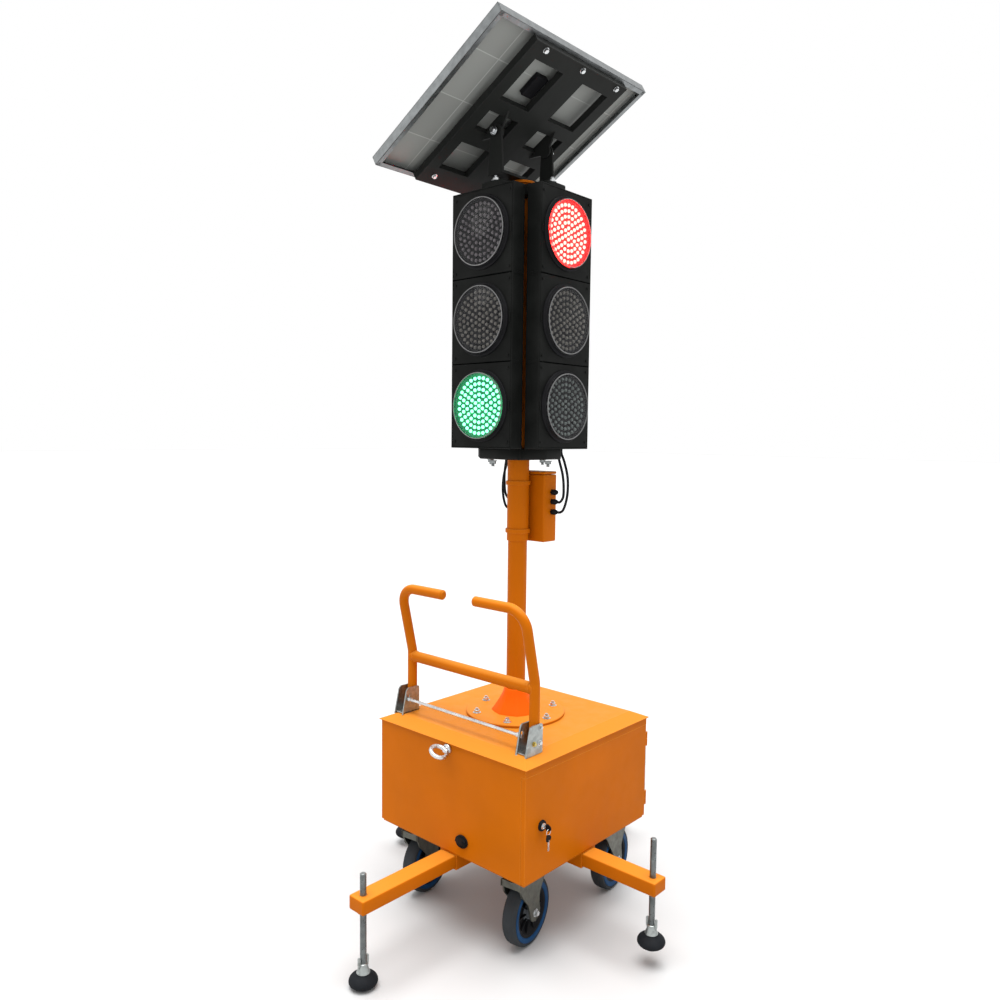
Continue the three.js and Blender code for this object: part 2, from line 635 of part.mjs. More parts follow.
add('handle_bracket_left', handleBracket(-1), galvanised);
add('handle_bracket_right', handleBracket(1), galvanised);
add('handle', handle(), orangePaint);
const rodSpan = [-LOCK_ROD.half, LOCK_ROD.half];
add('handle_lock_rod', rod('x', LOCK_ROD.radius, rodSpan, [LOCK_ROD.y, LOCK_ROD.z], 12), zinc);

for (const { name, turn, reach, lift } of OUTRIGGERS) {
  add(`outrigger_arm_${name}`, outriggerArm(reach), orangePaint, placed(0, 0, 0, turn));
  const jack = placed(reach * Math.cos(turn), reach * Math.sin(turn), lift, turn);
  add(`jack_screw_${name}`, jackScrew(), galvanised, jack);
  add(`jack_foot_${name}`, jackFoot(), rubber, jack);
}

for (const { name, x, y } of CASTORS) {
  const heading = THREE.MathUtils.degToRad(CASTOR.heading);
  const castor = placed(CASTOR.offset + x * CASTOR.x, y * CASTOR.y, 0, heading);
  add(`castor_fork_${name}`, castorFork(), greySteel, castor);
  add(`castor_wheel_${name}`, castorWheel(), wheelBlue, castor);
  add(`brake_pedal_${name}`, brakePedal(), blackPlastic, castor);
}

add('tilt_yoke', tiltYoke(), blackSteel);
const tilted = placed(0, 0, TILT.z);
tilted.rotation.y = -TILT.angle;
add('panel_ladder_frame', panelLadderFrame(), blackSteel, tilted);
add('solar_panel', solarPanel(), aluminium, tilted);

for (const [name, ...route] of CABLES) {
  add(name, cable(...route), rubber);
}

export default object;
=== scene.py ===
"""The looks of the portable traffic light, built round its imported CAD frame. Metres, +Z up."""

import json
import math

import bmesh
import bpy
from mathutils import Matrix, Vector


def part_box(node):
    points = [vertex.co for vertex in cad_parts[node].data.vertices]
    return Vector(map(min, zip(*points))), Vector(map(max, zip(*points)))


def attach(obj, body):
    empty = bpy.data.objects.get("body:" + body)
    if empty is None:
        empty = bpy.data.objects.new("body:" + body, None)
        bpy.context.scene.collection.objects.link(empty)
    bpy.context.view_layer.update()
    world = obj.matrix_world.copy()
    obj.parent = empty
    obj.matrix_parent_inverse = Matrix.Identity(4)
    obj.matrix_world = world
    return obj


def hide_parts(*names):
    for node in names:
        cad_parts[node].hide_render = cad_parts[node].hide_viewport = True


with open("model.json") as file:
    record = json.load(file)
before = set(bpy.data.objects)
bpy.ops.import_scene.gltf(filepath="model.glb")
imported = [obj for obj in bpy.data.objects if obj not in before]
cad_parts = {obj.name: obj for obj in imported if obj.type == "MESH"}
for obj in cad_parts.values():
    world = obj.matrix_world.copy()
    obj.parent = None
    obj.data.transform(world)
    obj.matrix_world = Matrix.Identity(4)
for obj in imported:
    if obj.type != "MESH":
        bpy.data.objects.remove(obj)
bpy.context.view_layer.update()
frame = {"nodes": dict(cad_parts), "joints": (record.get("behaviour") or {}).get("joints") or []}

X, Y, Z = Vector((1, 0, 0)), Vector((0, 1, 0)), Vector((0, 0, 1))
JOINTS = {joint["name"]: joint for joint in frame["joints"]}
SIDES = ("front", "door_side", "rear", "far_side")
CASTORS = ("front_right", "front_left", "rear_right", "rear_left")
FLANKS = (-1, 1)


def joint_at(name):
    return Vector(JOINTS[name]["pos_m"])


def new_object(name, data):
    obj = bpy.data.objects.new(name, data)
    bpy.context.scene.collection.objects.link(obj)
    return obj


def placed(x, y, z, origin):
    """The matrix with these three axes and this origin."""
    return Matrix((*zip(x, y, z, origin), (0, 0, 0, 1)))


# ---- camera

CAMERA_PLACE = (1.7151, -1.9797, 1.491)
CAMERA_DEGREES = (-42.142, -4.391, 0.638)
FOCAL_LENGTH, SENSOR_WIDTH = 30.138, 36


def add_camera():
    data = bpy.data.cameras.new("camera")
    data.sensor_width, data.lens = SENSOR_WIDTH, FOCAL_LENGTH
    yaw, pitch, roll = (math.radians(angle) for angle in CAMERA_DEGREES)
    forward = Vector((
        math.sin(yaw) * math.cos(pitch), math.cos(yaw) * math.cos(pitch), math.sin(pitch),
    ))
    level = forward.cross(Z).normalized()
    rise = level.cross(forward)
    right = level * math.cos(roll) + rise * math.sin(roll)
    up = rise * math.cos(roll) - level * math.sin(roll)
    camera = new_object("camera", data)
    camera.matrix_world = placed(right, up, -forward, CAMERA_PLACE)
    bpy.context.scene.camera = camera


# ---- forms

def open_form(points, faces):
    bm = bmesh.new()
    verts = [bm.verts.new(p) for p in points]
    for face in faces:
        bm.faces.new([verts[i] for i in face])
    return bm


def closed_form(points, faces):
    bm = open_form(points, faces)
    bmesh.ops.recalc_face_normals(bm, faces=bm.faces)
    return bm


def moved(bm, matrix):
    bm.transform(matrix)
    return bm


def polar(radius, step, steps):
    """A point on a circle, a number of steps round it."""
    angle = 2 * math.pi * step / steps
    return radius * math.cos(angle), radius * math.sin(angle)


def circle(radius, steps):
    return [polar(radius, i, steps) for i in range(steps)]


def rectangle(half, other):
    return [(-half, -other), (half, -other), (half, other), (-half, other)]


def wall_faces(rows, sides):
    """The quads that join each row of points to the next."""
    return [
        (k + i, k + (i + 1) % sides, k + sides + (i + 1) % sides, k + sides + i)
        for k in range(0, rows * sides, sides) for i in range(sides)
    ]


def bevelled(bm, width, segments=2, angle=35):
    """Rounds the edges sharper than angle."""
    least = math.radians(angle)
    sharp = [e for e in bm.edges if len(e.link_faces) == 2 and e.calc_face_angle(0) > least]
    bmesh.ops.bevel(
        bm, geom=sharp, offset=width, segments=segments, profile=0.5, affect="EDGES",
        clamp_overlap=True,
    )
    return bm


def towards(origin, axis=Z, start=None):
    """A matrix that puts local Z on axis and local X near start, with its origin at a point."""
    z = Vector(axis).normalized()
    x = Vector(start) if start else (X if abs(z.x) < 0.9 else Y)
    x = (x - z * x.dot(z)).normalized()
    return placed(x, z.cross(x), z, origin)


def standing(origin, along, across):
    """A matrix that stands an outline up along a level direction, with its depth against across."""
    return placed(along, across, Z, origin) @ Matrix.Rotation(math.pi / 2, 4, "X")


def box(low, high, width=0.0, segments=2):
    xs, ys, zs = zip(low, high)
    points = [(x, y, z) for x in xs for y in ys for z in zs]
    faces = [(0, 1, 3, 2), (4, 6, 7, 5), (0, 4, 5, 1), (2, 3, 7, 6), (0, 2, 6, 4), (1, 5, 7, 3)]
    bm = closed_form(points, faces)
    return bevelled(bm, width, segments) if width else bm


def lathe(profile, sides, place):
    """Turns a profile of (radius, height) about local Z. It closes unless it ends on the axis."""
    points, rings, faces = [], [], []
    for radius, height in profile:
        count = sides if radius else 1
        rings.append(range(len(points), len(points) + count))
        points += [(*polar(radius, i, sides), height) for i in range(count)]
    pairs = list(zip(rings, rings[1:]))
    if profile[0][0] and profile[-1][0]:
        pairs.append((rings[-1], rings[0]))
    for low, high in pairs:
        for i in range(sides):
            j = (i + 1) % sides
            quad = [low[i % len(low)], low[j % len(low)], high[j % len(high)], high[i % len(high)]]
            faces.append(list(dict.fromkeys(quad)))
    return moved(closed_form(points, [f for f in faces if len(f) > 2]), place)


def mirrored(half):
    """A closed profile that is alike above and below, from its upper half."""
    return [(r, -h) for r, h in half] + half[::-1]


def disc(radius, low, high, place, sides=48, width=0.0008):
    profile = [(0, low), (radius, low), (radius, high), (0, high)]
    return bevelled(lathe(profile, sides, place), width, 2, 60)


def ring(radius, wire, place, sides=48, around=16):
    return lathe([(radius + a, b) for a, b in circle(wire, around)], sides, place)


def prism(outline, low, high, place, width=0.0, segments=2):
    """Extrudes an outline in local XY from low to high along local Z."""
    count = len(outline)
    points = [(a, b, h) for h in (low, high) for a, b in outline]
    faces = [range(count), range(count, 2 * count), *wall_faces(1, count)]
    bm = moved(closed_form(points, faces), place)
    return bevelled(bm, width, segments) if width else bm


def arc(centre, radius, start, end, steps):
    angles = [math.radians(start + (end - start) * i / steps) for i in range(steps + 1)]
    return [(centre[0] + radius * math.cos(a), centre[1] + radius * math.sin(a)) for a in angles]


def sweep(path, radius, sides, cap=0.35):
    """A round bar along a path, with its two ends eased over by cap times its radius."""
    path = [Vector(p) for p in path]
    ways = [(b - a).normalized() for a, b in zip(path, path[1:])]
    first, last = ways[0], ways[-1]
    turns = [(a + b).normalized() for a, b in zip(ways, ways[1:])]
    side = first.orthogonal().normalized()
    ease = radius * cap
    stations = [
        (path[0], first, radius - ease), (path[0] + first * ease, first, radius),
        *((point, way, radius) for point, way in zip(path[1:-1], turns)),
        (path[-1] - last * ease, last, radius), (path[-1], last, radius - ease),
    ]
    points = []
    for point, way, reach in stations:
        side = (side - way * side.dot(way)).normalized()
        other = way.cross(side)
        points += [point + (side * a + other * b) * reach for a, b in circle(1, sides)]
    rows = len(stations) - 1
    ends = [range(sides), range(rows * sides, (rows + 1) * sides)]
    return closed_form(points, [*wall_faces(rows, sides), *ends])


def rounded_path(corners, bend, steps=10):
    """Straight stretches joined by arcs of one bend radius."""
    corners = [Vector(c) for c in corners]
    path = [corners[0]]
    for before, corner, after in zip(corners, corners[1:], corners[2:]):
        back, on = (before - corner).normalized(), (after - corner).normalized()
        half = back.angle(on) / 2
        centre = corner + (back + on).normalized() * bend / math.sin(half)
        first, last = corner + back * bend / math.tan(half), corner + on * bend / math.tan(half)
        for i in range(steps + 1):
            spoke = (first - centre).slerp(last - centre, i / steps).normalized()
            path.append(centre + spoke * bend)
    return path + [corners[-1]]


def bolt(origin, axis, radius, stud=0.0):
    """A hexagon nut or head on a washer, standing up along axis, with an end of thread above it."""
    origin = Vector(origin)
    place = towards(origin, axis)
    washer, thick, rounding = radius * 1.35, radius * 0.18, radius * 0.09
    parts = [
        disc(washer, 0, thick, place, 32, 0.0003),
        prism(circle(radius, 6), thick, radius, place, rounding),
    ]
    if stud:
        foot, shank, pitch = origin + axis * radius * 0.9, radius * 0.55, radius * 0.16
        parts.append(threaded(foot, axis, shank, stud, pitch, 16))
    return parts


def threaded(origin, axis, radius, length, pitch, sides):
    """A screw thread as one helical surface, closed at both ends."""
    inner = radius - 0.61 * pitch
    turns = max(2, int(length / pitch))
    points, faces = [], []
    rows = turns * sides
    for i in range(rows + 1):
        height = length * i / rows
        for share, reach in ((0.0, inner), (0.25, radius), (0.5, radius), (0.75, inner)):
            rise = min(max(height + (share - 0.5) * length / turns, 0), length)
            points.append((*polar(reach, i, sides), rise))
    for i in range(rows):
        faces += [(a, a + 1, a + 5, a + 4) for a in range(i * 4, i * 4 + 3)]
    for i in range(rows - sides):
        a, b = i * 4 + 3, (i + sides) * 4
        faces.append((a, a + 4, b + 4, b))
    bm = open_form(points, faces)
    bmesh.ops.remove_doubles(bm, verts=bm.verts, dist=1e-6)
    edges = [e for e in bm.edges if len(e.link_faces) == 1]
    bmesh.ops.holes_fill(bm, edges=edges, sides=0)
    bmesh.ops.recalc_face_normals(bm, faces=bm.faces)
    return moved(bm, towards(origin, axis))


FLAT = math.radians(1)
MUCH_LARGER = 25


def join_facets(bm):
    bmesh.ops.dissolve_limit(bm, angle_limit=FLAT, verts=bm.verts, edges=bm.edges)


def cad_copy(node, width=0.0015, segments=2, angle=35):
    """The CAD node's own form with its flat facets joined and its edges rounded."""
    bm = bmesh.new()
    bm.from_mesh(frame["nodes"][node].data)
    bmesh.ops.remove_doubles(bm, verts=bm.verts, dist=2e-6)
    join_facets(bm)
    return bevelled(bm, width, segments, angle)


def flat_areas(bm):
    """For each face, the area of the flat region that it is part of."""
    bm.faces.index_update()
    areas = [None] * len(bm.faces)
    for first in bm.faces:
        if areas[first.index] is not None:
            continue
        region, waiting = {first}, [first]
        while waiting:
            for edge in waiting.pop().edges:
                if len(edge.link_faces) == 2 and edge.calc_face_angle(0) < FLAT:
                    found = [face for face in edge.link_faces if face not in region]
                    region.update(found)
                    waiting += found
        area = sum(face.calc_area() for face in region)
        for face in region:
            areas[face.index] = area
    return areas


def shade_edges(bm, sharp):
    """Smooth shading up to an angle, but not from a large flat face into its thin rounding."""
    areas = flat_areas(bm)
    for edge in bm.edges:
        angle = edge.calc_face_angle(0) if len(edge.link_faces) == 2 else math.pi
        smooth = angle < sharp
        if smooth and angle > FLAT:
            small, large = sorted(areas[face.index] for face in edge.link_faces)
            smooth = large < MUCH_LARGER * small
        edge.smooth = smooth


def piece(name, parts, body, finish, *nodes, sharp=40, place=None):
    """One object made of forms. It rides on a body and stands for the CAD nodes named.

    A finish is a material slot of the record, which is not used, and the material that shows it.
    """
    slot, material = finish
    whole = bmesh.new()
    for part in parts:
        if place:
            part.transform(place)
        mesh = bpy.data.meshes.new("form")
        part.to_mesh(mesh)
        part.free()
        whole.from_mesh(mesh)
        bpy.data.meshes.remove(mesh)
    for face in whole.faces:
        face.smooth = True
    shade_edges(whole, math.radians(sharp))
    mesh = bpy.data.meshes.new(name)
    whole.to_mesh(mesh)
    whole.free()
    mesh.materials.append(material)
    obj = new_object(name, mesh)
    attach(obj, body)
    if nodes:
        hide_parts(*nodes)


def copied(name, node, body, finish, *rounding):
    """A piece that is the CAD node itself with its edges rounded."""
    piece(name, [cad_copy(node, *rounding)], body, finish, node)


# ---- materials

class Material:
    """A Principled material with object-space textures."""

    def __init__(self, name, colour, roughness, metallic=0.0):
        self.material = bpy.data.materials.new(name)
        self.material.use_nodes = True
        self.tree = self.material.node_tree
        self.shader = self.tree.nodes["Principled BSDF"]
        self.coordinates = self.node("TexCoord").outputs["Object"]
        self.set("Base Color", (*colour, 1))
        self.set("Roughness", roughness)
        self.set("Metallic", metallic)

    def set(self, socket, value):
        self.shader.inputs[socket].default_value = value

    def node(self, kind, **values):
        node = self.tree.nodes.new("ShaderNode" + kind)
        for key, value in values.items():
            node.inputs[key].default_value = value
        return node

    def link(self, source, target):
        self.tree.links.new(source, target)

    def noise(self, scale, detail=4.0, stretch=None):
        texture = self.node("TexNoise", Scale=scale, Detail=detail)
        source = self.coordinates
        if stretch:
            mapping = self.node("Mapping", Scale=stretch)
            self.link(source, mapping.inputs["Vector"])
            source = mapping.outputs["Vector"]
        self.link(source, texture.inputs["Vector"])
        return texture.outputs["Fac"]

    def ramp(self, source, stops):
        """stops are (place, value or colour)."""
        ramp = self.node("ValToRGB")
        self.link(source, ramp.inputs["Fac"])
        elements = ramp.color_ramp.elements
        while len(elements) < len(stops):
            elements.new(0.5)
        for element, (place, value) in zip(elements, stops):
            element.position = place
            element.color = (*(value if isinstance(value, tuple) else [value] * 3), 1)
        return ramp.outputs["Color"]

    def mixed(self, share, first, second):
        mix = self.node("Mix")
        mix.data_type = "RGBA"
        self.link(share, mix.inputs["Factor"])
        for socket, value in ((mix.inputs[6], first), (mix.inputs[7], second)):
            if isinstance(value, bpy.types.NodeSocket):
                self.link(value, socket)
            else:
                socket.default_value = (*value, 1)
        return mix.outputs[2]

    def edges(self, radius):
        """1 on flat ground, and less within a radius of an edge."""
        rounded = self.node("Bevel", Radius=radius)
        rounded.samples = 4
        alike = self.node("VectorMath")
        alike.operation = "DOT_PRODUCT"
        self.link(rounded.outputs["Normal"], alike.inputs[0])
        self.link(self.node("NewGeometry").outputs["Normal"], alike.inputs[1])
        return alike.outputs["Value"]

    def base(self, source):
        self.link(source, self.shader.inputs["Base Color"])

    def roughness(self, source, low, high):
        self.link(self.ramp(source, [(0.3, low), (0.7, high)]), self.shader.inputs["Roughness"])

    def bump(self, source, distance, strength=1.0):
        bump = self.node("Bump", Strength=strength, Distance=distance)
        self.link(source, bump.inputs["Height"])
        previous = self.shader.inputs["Normal"]
        if previous.is_linked:
            self.link(previous.links[0].from_socket, bump.inputs["Normal"])
        self.link(bump.outputs["Normal"], previous)

    def coat(self, weight, roughness):
        self.set("Coat Weight", weight)
        self.set("Coat Roughness", roughness)


def shaded(colour, share):
    return tuple(share * c for c in colour)


def painted(slot, name, colour, worn_and_highlit_edge, roughness=0.45, painted_top_light=None):
    """Powder coat: a fine orange peel, faint clouding, paler edges that are partly rubbed wear and
    partly a painted edge highlight, and a painted top light on upward faces.
    """
    m = Material(name, colour, roughness)
    cloud_and_top_light = m.ramp(m.noise(5, 5), [(0.3, shaded(colour, 0.9)), (0.7, shaded(colour, 1.05))])
    # Edges are mixed towards a paler colour: partly rubbed wear, partly a painted edge highlight.
    wear_and_edge_highlight = m.ramp(m.edges(0.004), [(0.82, 0.45), (0.97, 0.0)])
    # Upward faces are mixed towards a paler colour: painted light falling from above.
    if painted_top_light:
        upright = m.node("SeparateXYZ")
        m.link(m.node("TexCoord").outputs["Normal"], upright.inputs["Vector"])
        cloud_and_top_light = m.mixed(m.ramp(upright.outputs["Z"], [(0.35, 0.0), (0.9, 1.0)]), cloud_and_top_light, painted_top_light)
    m.base(m.mixed(wear_and_edge_highlight, cloud_and_top_light, worn_and_highlit_edge))
    m.roughness(m.noise(30, 6), roughness - 0.08, roughness + 0.08)
    m.bump(m.noise(420, 2), 0.0004, 0.12)
    m.set("Specular IOR Level", 0.05)
    return slot, m.material


def bare_metal(slot, name, colour, roughness, spangle=None, stretch=None):
    """Bare steel: cloudy reflectivity, fine scratches and, if asked for, zinc spangle."""
    m = Material(name, colour, roughness, 1.0)
    darker = shaded(colour, 0.72)
    if spangle:
        cells = m.node("TexVoronoi", Scale=spangle)
        m.link(m.coordinates, cells.inputs["Vector"])
        m.base(m.ramp(cells.outputs["Color"], [(0.2, darker), (0.8, colour)]))
    else:
        m.base(m.ramp(m.noise(40, 6), [(0.3, darker), (0.65, colour)]))
    m.roughness(m.noise(90, 6, stretch), roughness - 0.1, roughness + 0.12)
    m.bump(m.noise(260, 4, stretch), 0.0003, 0.15)
    return slot, m.material


def moulded(slot, name, colour, roughness, grain=500, depth=0.15, shine=0.06):
    """Moulded plastic or rubber with a fine grain and a little dust."""
    m = Material(name, colour, roughness)
    m.set("Specular IOR Level", shine)
    dusty = tuple(1.4 * c + 0.003 for c in colour)
    m.base(m.ramp(m.noise(14, 6), [(0.4, colour), (0.8, dusty)]))
    m.roughness(m.noise(45, 4), roughness - 0.08, roughness + 0.1)
    m.bump(m.noise(grain, 2), 0.0004, depth)
    return slot, m.material


def glowing(slot, name, colour, strength, body):
    m = Material(name, body, 0.3)
    m.base(m.ramp(m.noise(300, 2), [(0.3, shaded(body, 0.8)), (0.7, body)]))
    m.set("Emission Color", (*colour, 1))
    m.set("Emission Strength", strength)
    return slot, m.material


def clear_lens(slot, name, colour, alpha):
    m = Material(name, colour, 0.08)
    m.set("Alpha", alpha)
    m.roughness(m.noise(60, 3), 0.05, 0.12)
    m.set("Specular IOR Level", 0.3)
    m.coat(0.4, 0.03)
    return slot, m.material


def celled(name, cell, gap, roughness, centre, busbars=False):
    """The laminate's grid of cells, laid square to the tilted panel."""
    m = Material(name, cell, roughness)
    mapping = m.node("Mapping", Location=centre, Rotation=(0, -PANEL_TILT, 0))
    mapping.vector_type = "TEXTURE"
    m.link(m.coordinates, mapping.inputs["Vector"])
    sizes = {"Brick Width": 0.156, "Row Height": 0.105, "Mortar Size": 0.0016}
    colours = {"Color1": cell, "Color2": shaded(cell, 0.8), "Mortar": gap}
    colours = {socket: (*colour, 1) for socket, colour in colours.items()}
    bricks = m.node("TexBrick", Scale=1.0, **sizes, **colours)
    bricks.offset = 0.0
    m.link(mapping.outputs["Vector"], bricks.inputs["Vector"])
    surface = bricks.outputs["Color"]
    if busbars:
        wave = m.node("TexWave", Scale=5.6)
        wave.bands_direction = "Y"
        m.link(mapping.outputs["Vector"], wave.inputs["Vector"])
        lines = m.ramp(wave.outputs["Fac"], [(0.985, 0.0), (0.995, 0.7)])
        surface = m.mixed(lines, surface, (0.5, 0.52, 0.55))
        m.coat(1.0, 0.04)
    m.base(surface)
    m.bump(m.noise(25, 3), 0.0005, 0.08)
    return "panel_aluminium", m.material


# The paler colour for upward faces is painted light from above.
ORANGE = painted(
    "orange_paint", "orange_paint", (0.48, 0.115, 0.0006), (0.7, 0.24, 0.03),
    painted_top_light=(0.6, 0.205, 0.021),
)
BRIGHT = painted("bright_paint", "bright_orange_paint", (0.88, 0.1, 0.002), (0.95, 0.16, 0.02))
BLACK_PAINT = painted("black_steel", "black_paint", (0.015, 0.016, 0.015), (0.04, 0.04, 0.04), 0.42)
ZINC = bare_metal("zinc", "bright_zinc", (0.72, 0.74, 0.75), 0.28)
GALVANISED = bare_metal("galvanised", "galvanised_sheet", (0.42, 0.45, 0.44), 0.42, spangle=110)
FORK_STEEL = bare_metal("grey_steel", "fork_steel", (0.135, 0.135, 0.115), 0.42)
THREAD_STEEL = bare_metal("galvanised", "thread_steel", (0.33, 0.35, 0.35), 0.33)
BRASS = bare_metal("zinc", "brass", (0.62, 0.42, 0.16), 0.3)
YELLOW_ZINC = bare_metal("zinc", "yellow_zinc", (0.66, 0.52, 0.16), 0.3)
ALUMINIUM = bare_metal(
    "panel_aluminium", "anodised_aluminium", (0.26, 0.275, 0.28), 0.36, stretch=(40, 1, 1),
)
HOUSING = moulded("black_plastic", "housing_plastic", (0.0055, 0.006, 0.0055), 0.42)
BLACK_PLASTIC = moulded("black_plastic", "black_plastic", (0.008, 0.008, 0.009), 0.45)
GREY_PLASTIC = moulded("black_plastic", "grey_plastic", (0.11, 0.12, 0.13), 0.5)
RUBBER = moulded("black_rubber", "black_rubber", (0.01, 0.011, 0.013), 0.6, 240, 0.3)
TYRE = moulded("black_rubber", "tyre_rubber", (0.03, 0.033, 0.036), 0.6, 300, 0.25)
WHEEL_BLUE = moulded("wheel_plastic", "wheel_blue", (0.006, 0.04, 0.11), 0.4)

LAMP = "lamp_plastic"
LENS_EDGE = moulded(LAMP, "lens_edge", (0.12, 0.12, 0.12), 0.14, shine=0.8)
LAMP_DARK = moulded(LAMP, "lamp_interior", (0.008, 0.008, 0.009), 0.35)
LED_OFF = {
    "red": moulded(LAMP, "led_red_unlit", (0.18, 0.165, 0.175), 0.2),
    "amber": moulded(LAMP, "led_amber_unlit", (0.18, 0.172, 0.155), 0.2),
    "green": moulded(LAMP, "led_green_unlit", (0.155, 0.18, 0.172), 0.2),
}
LED_RED = glowing(LAMP, "led_red_lit", (1.0, 0.055, 0.045), 34.0, (0.5, 0.05, 0.04))
LED_GREEN = glowing(LAMP, "led_green_lit", (0.2, 1.0, 0.46), 6.0, (0.05, 0.5, 0.3))
# A lit lamp's dish glows with painted light: its LEDs' light spread over the inside of the lamp.
PAINTED_RED_GLOW = glowing(LAMP, "painted_red_glow", (1.0, 0.008, 0.008), 1.8, (0.5, 0.01, 0.01))
PAINTED_GREEN_GLOW = glowing(LAMP, "painted_green_glow", (0.0, 0.2, 0.065), 0.6, (0.003, 0.08, 0.03))
SMOKED = clear_lens(LAMP, "smoked_lens", (0.02, 0.02, 0.022), 0.18)
RED_LENS = clear_lens(LAMP, "red_lens", (0.8, 0.02, 0.02), 0.22)
GREEN_LENS = clear_lens(LAMP, "green_lens", (0.0, 0.22, 0.09), 0.22)


# ---- cables

CABLE_DIAMETER = 0.008
GLAND_END, GLAND_Y = 0.0975, 0.076
LOW_GLAND, MIDDLE_GLAND, HIGH_GLAND = 1.254, 1.286, 1.316
LOOPS = (
    (
        "outer", LOW_GLAND, (0.106, 0.08),
        [(0.118, 0.076, 1.26), (0.133, 0.077, 1.3), (0.133, 0.08, 1.36), (0.118, 0.082, 1.41)],
    ),
    (
        "inner", MIDDLE_GLAND, (0.104, 0.064),
        [(0.119, 0.075, 1.3), (0.123, 0.073, 1.335), (0.12, 0.07, 1.375), (0.11, 0.066, 1.415)],
    ),
)


def smooth_route(points, steps=8):
    """A centripetal Catmull-Rom curve through the points."""
    points = [Vector(p) for p in points]
    points = [2 * points[0] - points[1], *points, 2 * points[-1] - points[-2]]
    route = []
    for a, b, c, d in zip(points, points[1:], points[2:], points[3:]):
        knots = [0.0]
        for p, q in ((a, b), (b, c), (c, d)):
            knots.append(knots[-1] + math.sqrt((q - p).length))
        t0, t1, t2, t3 = knots
        for i in range(steps):
            t = t1 + (t2 - t1) * i / steps
            ab = a.lerp(b, (t - t0) / (t1 - t0))
            bc = b.lerp(c, (t - t1) / (t2 - t1))
            cd = c.lerp(d, (t - t2) / (t3 - t2))
            abc = ab.lerp(bc, (t - t0) / (t2 - t0))
            bcd = bc.lerp(cd, (t - t1) / (t3 - t1))
            route.append(abc.lerp(bcd, (t - t1) / (t2 - t1)))
    return route + [points[-2]]


def add_cable(name, route):
    curve = bpy.data.curves.new(name, "CURVE")
    curve.dimensions = "3D"
    curve.bevel_depth = CABLE_DIAMETER / 2
    curve.bevel_resolution = 5
    curve.use_fill_caps = True
    spline = curve.splines.new("POLY")
    spline.points.add(len(route) - 1)
    for point, place in zip(spline.points, route):
        point.co = (*place, 1)
    slot, material = RUBBER
    curve.materials.append(material)
    cable = new_object(name + "_lead", curve)
    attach(cable, "heads")
    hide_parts(name)


def add_cables():
    head_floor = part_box("signal_head_rear")[0].z
    for hand, flank in (("right", 1), ("left", -1)):
        for loop, height, entry, middle in LOOPS:
            route = [
                (GLAND_END, GLAND_Y, height), (GLAND_END + 0.0085, GLAND_Y, height), *middle,
                (*entry, head_floor - 0.012), (*entry, head_floor - 0.0005),
            ]
            route = smooth_route([(flank * x, y, z) for x, y, z in route])
            add_cable(f"cable_{hand}_{loop}", route)


# ---- cabinet

def add_cabinet():
    copied("chassis_frame", "chassis", "base", ORANGE, 0.002)
    copied("cabinet_walls", "cabinet_shell", "base", ORANGE, 0.0018, 3)
    copied("cabinet_lid", "cabinet_top", "base", ORANGE, 0.0035, 3, 8)
    copied("door_pan", "cabinet_door", "door", ORANGE, 0.0022, 3)
    low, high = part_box("door_hinge_pin")
    centre = (low + high) / 2
    pin = disc(0.004, low.z, high.z, towards((centre.x, centre.y, 0)))
    piece("hinge_pin", [pin], "base", ZINC, "door_hinge_pin")
    add_lock()
    add_lifting_eye()
    add_socket_cap()
    add_contents()


def add_lock():
    pivot = joint_at("lock_turn")
    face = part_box("cabinet_door")[1].x
    place = towards((face, pivot.y, pivot.z), X)
    collar = lathe([
        (0.0105, -0.004), (0.0155, -0.004), (0.0155, 0.0005), (0.014, 0.003), (0.0105, 0.003),
    ], 48, place)
    piece("lock_collar", [collar], "door", BLACK_PLASTIC)
    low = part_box("lock_key")[0]
    plug = [
        disc(0.009, low.x - face + 0.004, 0.0035, place, 40),
        box((low.x, low.y, pivot.z - 0.007), (low.x + 0.004, pivot.y, pivot.z + 0.007), 0.0012),
        box(
            (face + 0.003, pivot.y - 0.0011, pivot.z - 0.004),
            (face + 0.012, pivot.y + 0.0011, pivot.z + 0.004), 0.0003,
        ),
    ]
    piece("lock_plug", plug, "lock_key", ZINC, "lock_key")
    bow = key_bow((face + 0.0205, pivot.y, pivot.z), Y, 0.0025)
    piece("key_bow", [bow], "lock_key", BLACK_PLASTIC)

    hang = joint_at("spare_key_swing")
    loop = ring(0.0085, 0.0009, towards((hang.x, hang.y, hang.z - 0.0085), X), 40, 10)
    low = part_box("spare_key")[0].z
    half, teeth, pitch = 0.0032, 5, 0.004
    blade = [(-half, low), (0.001, low), (half, low + 0.004)]
    for tooth in range(teeth):
        foot = low + 0.006 + pitch * tooth
        blade += [(half, foot), (0.002, foot + 0.0015), (half, foot + 0.003)]
    blade += [(half, low + 0.034), (-half, low + 0.034)]
    place = towards((hang.x, hang.y, 0), X, Y)
    steel = [loop, prism(blade, -0.0009, 0.0009, place, 0.0002)]
    piece("spare_key_steel", steel, "spare_key", ZINC, "spare_key")
    bow = key_bow((hang.x, hang.y, hang.z - 0.026), X, 0.0024)
    piece("spare_key_bow", [bow], "spare_key", BLACK_PLASTIC)


def key_bow(centre, axis, thickness):
    """The moulded grip of a key: a rounded trefoil."""
    steps = 48
    reaches = [0.0098 + 0.0011 * math.cos(3 * 2 * math.pi * i / steps) for i in range(steps)]
    outline = [polar(reach, i, steps) for i, reach in enumerate(reaches)]
    return prism(outline, -thickness / 2, thickness / 2, towards(centre, axis), 0.0006)


EYE_TILT = 1.13


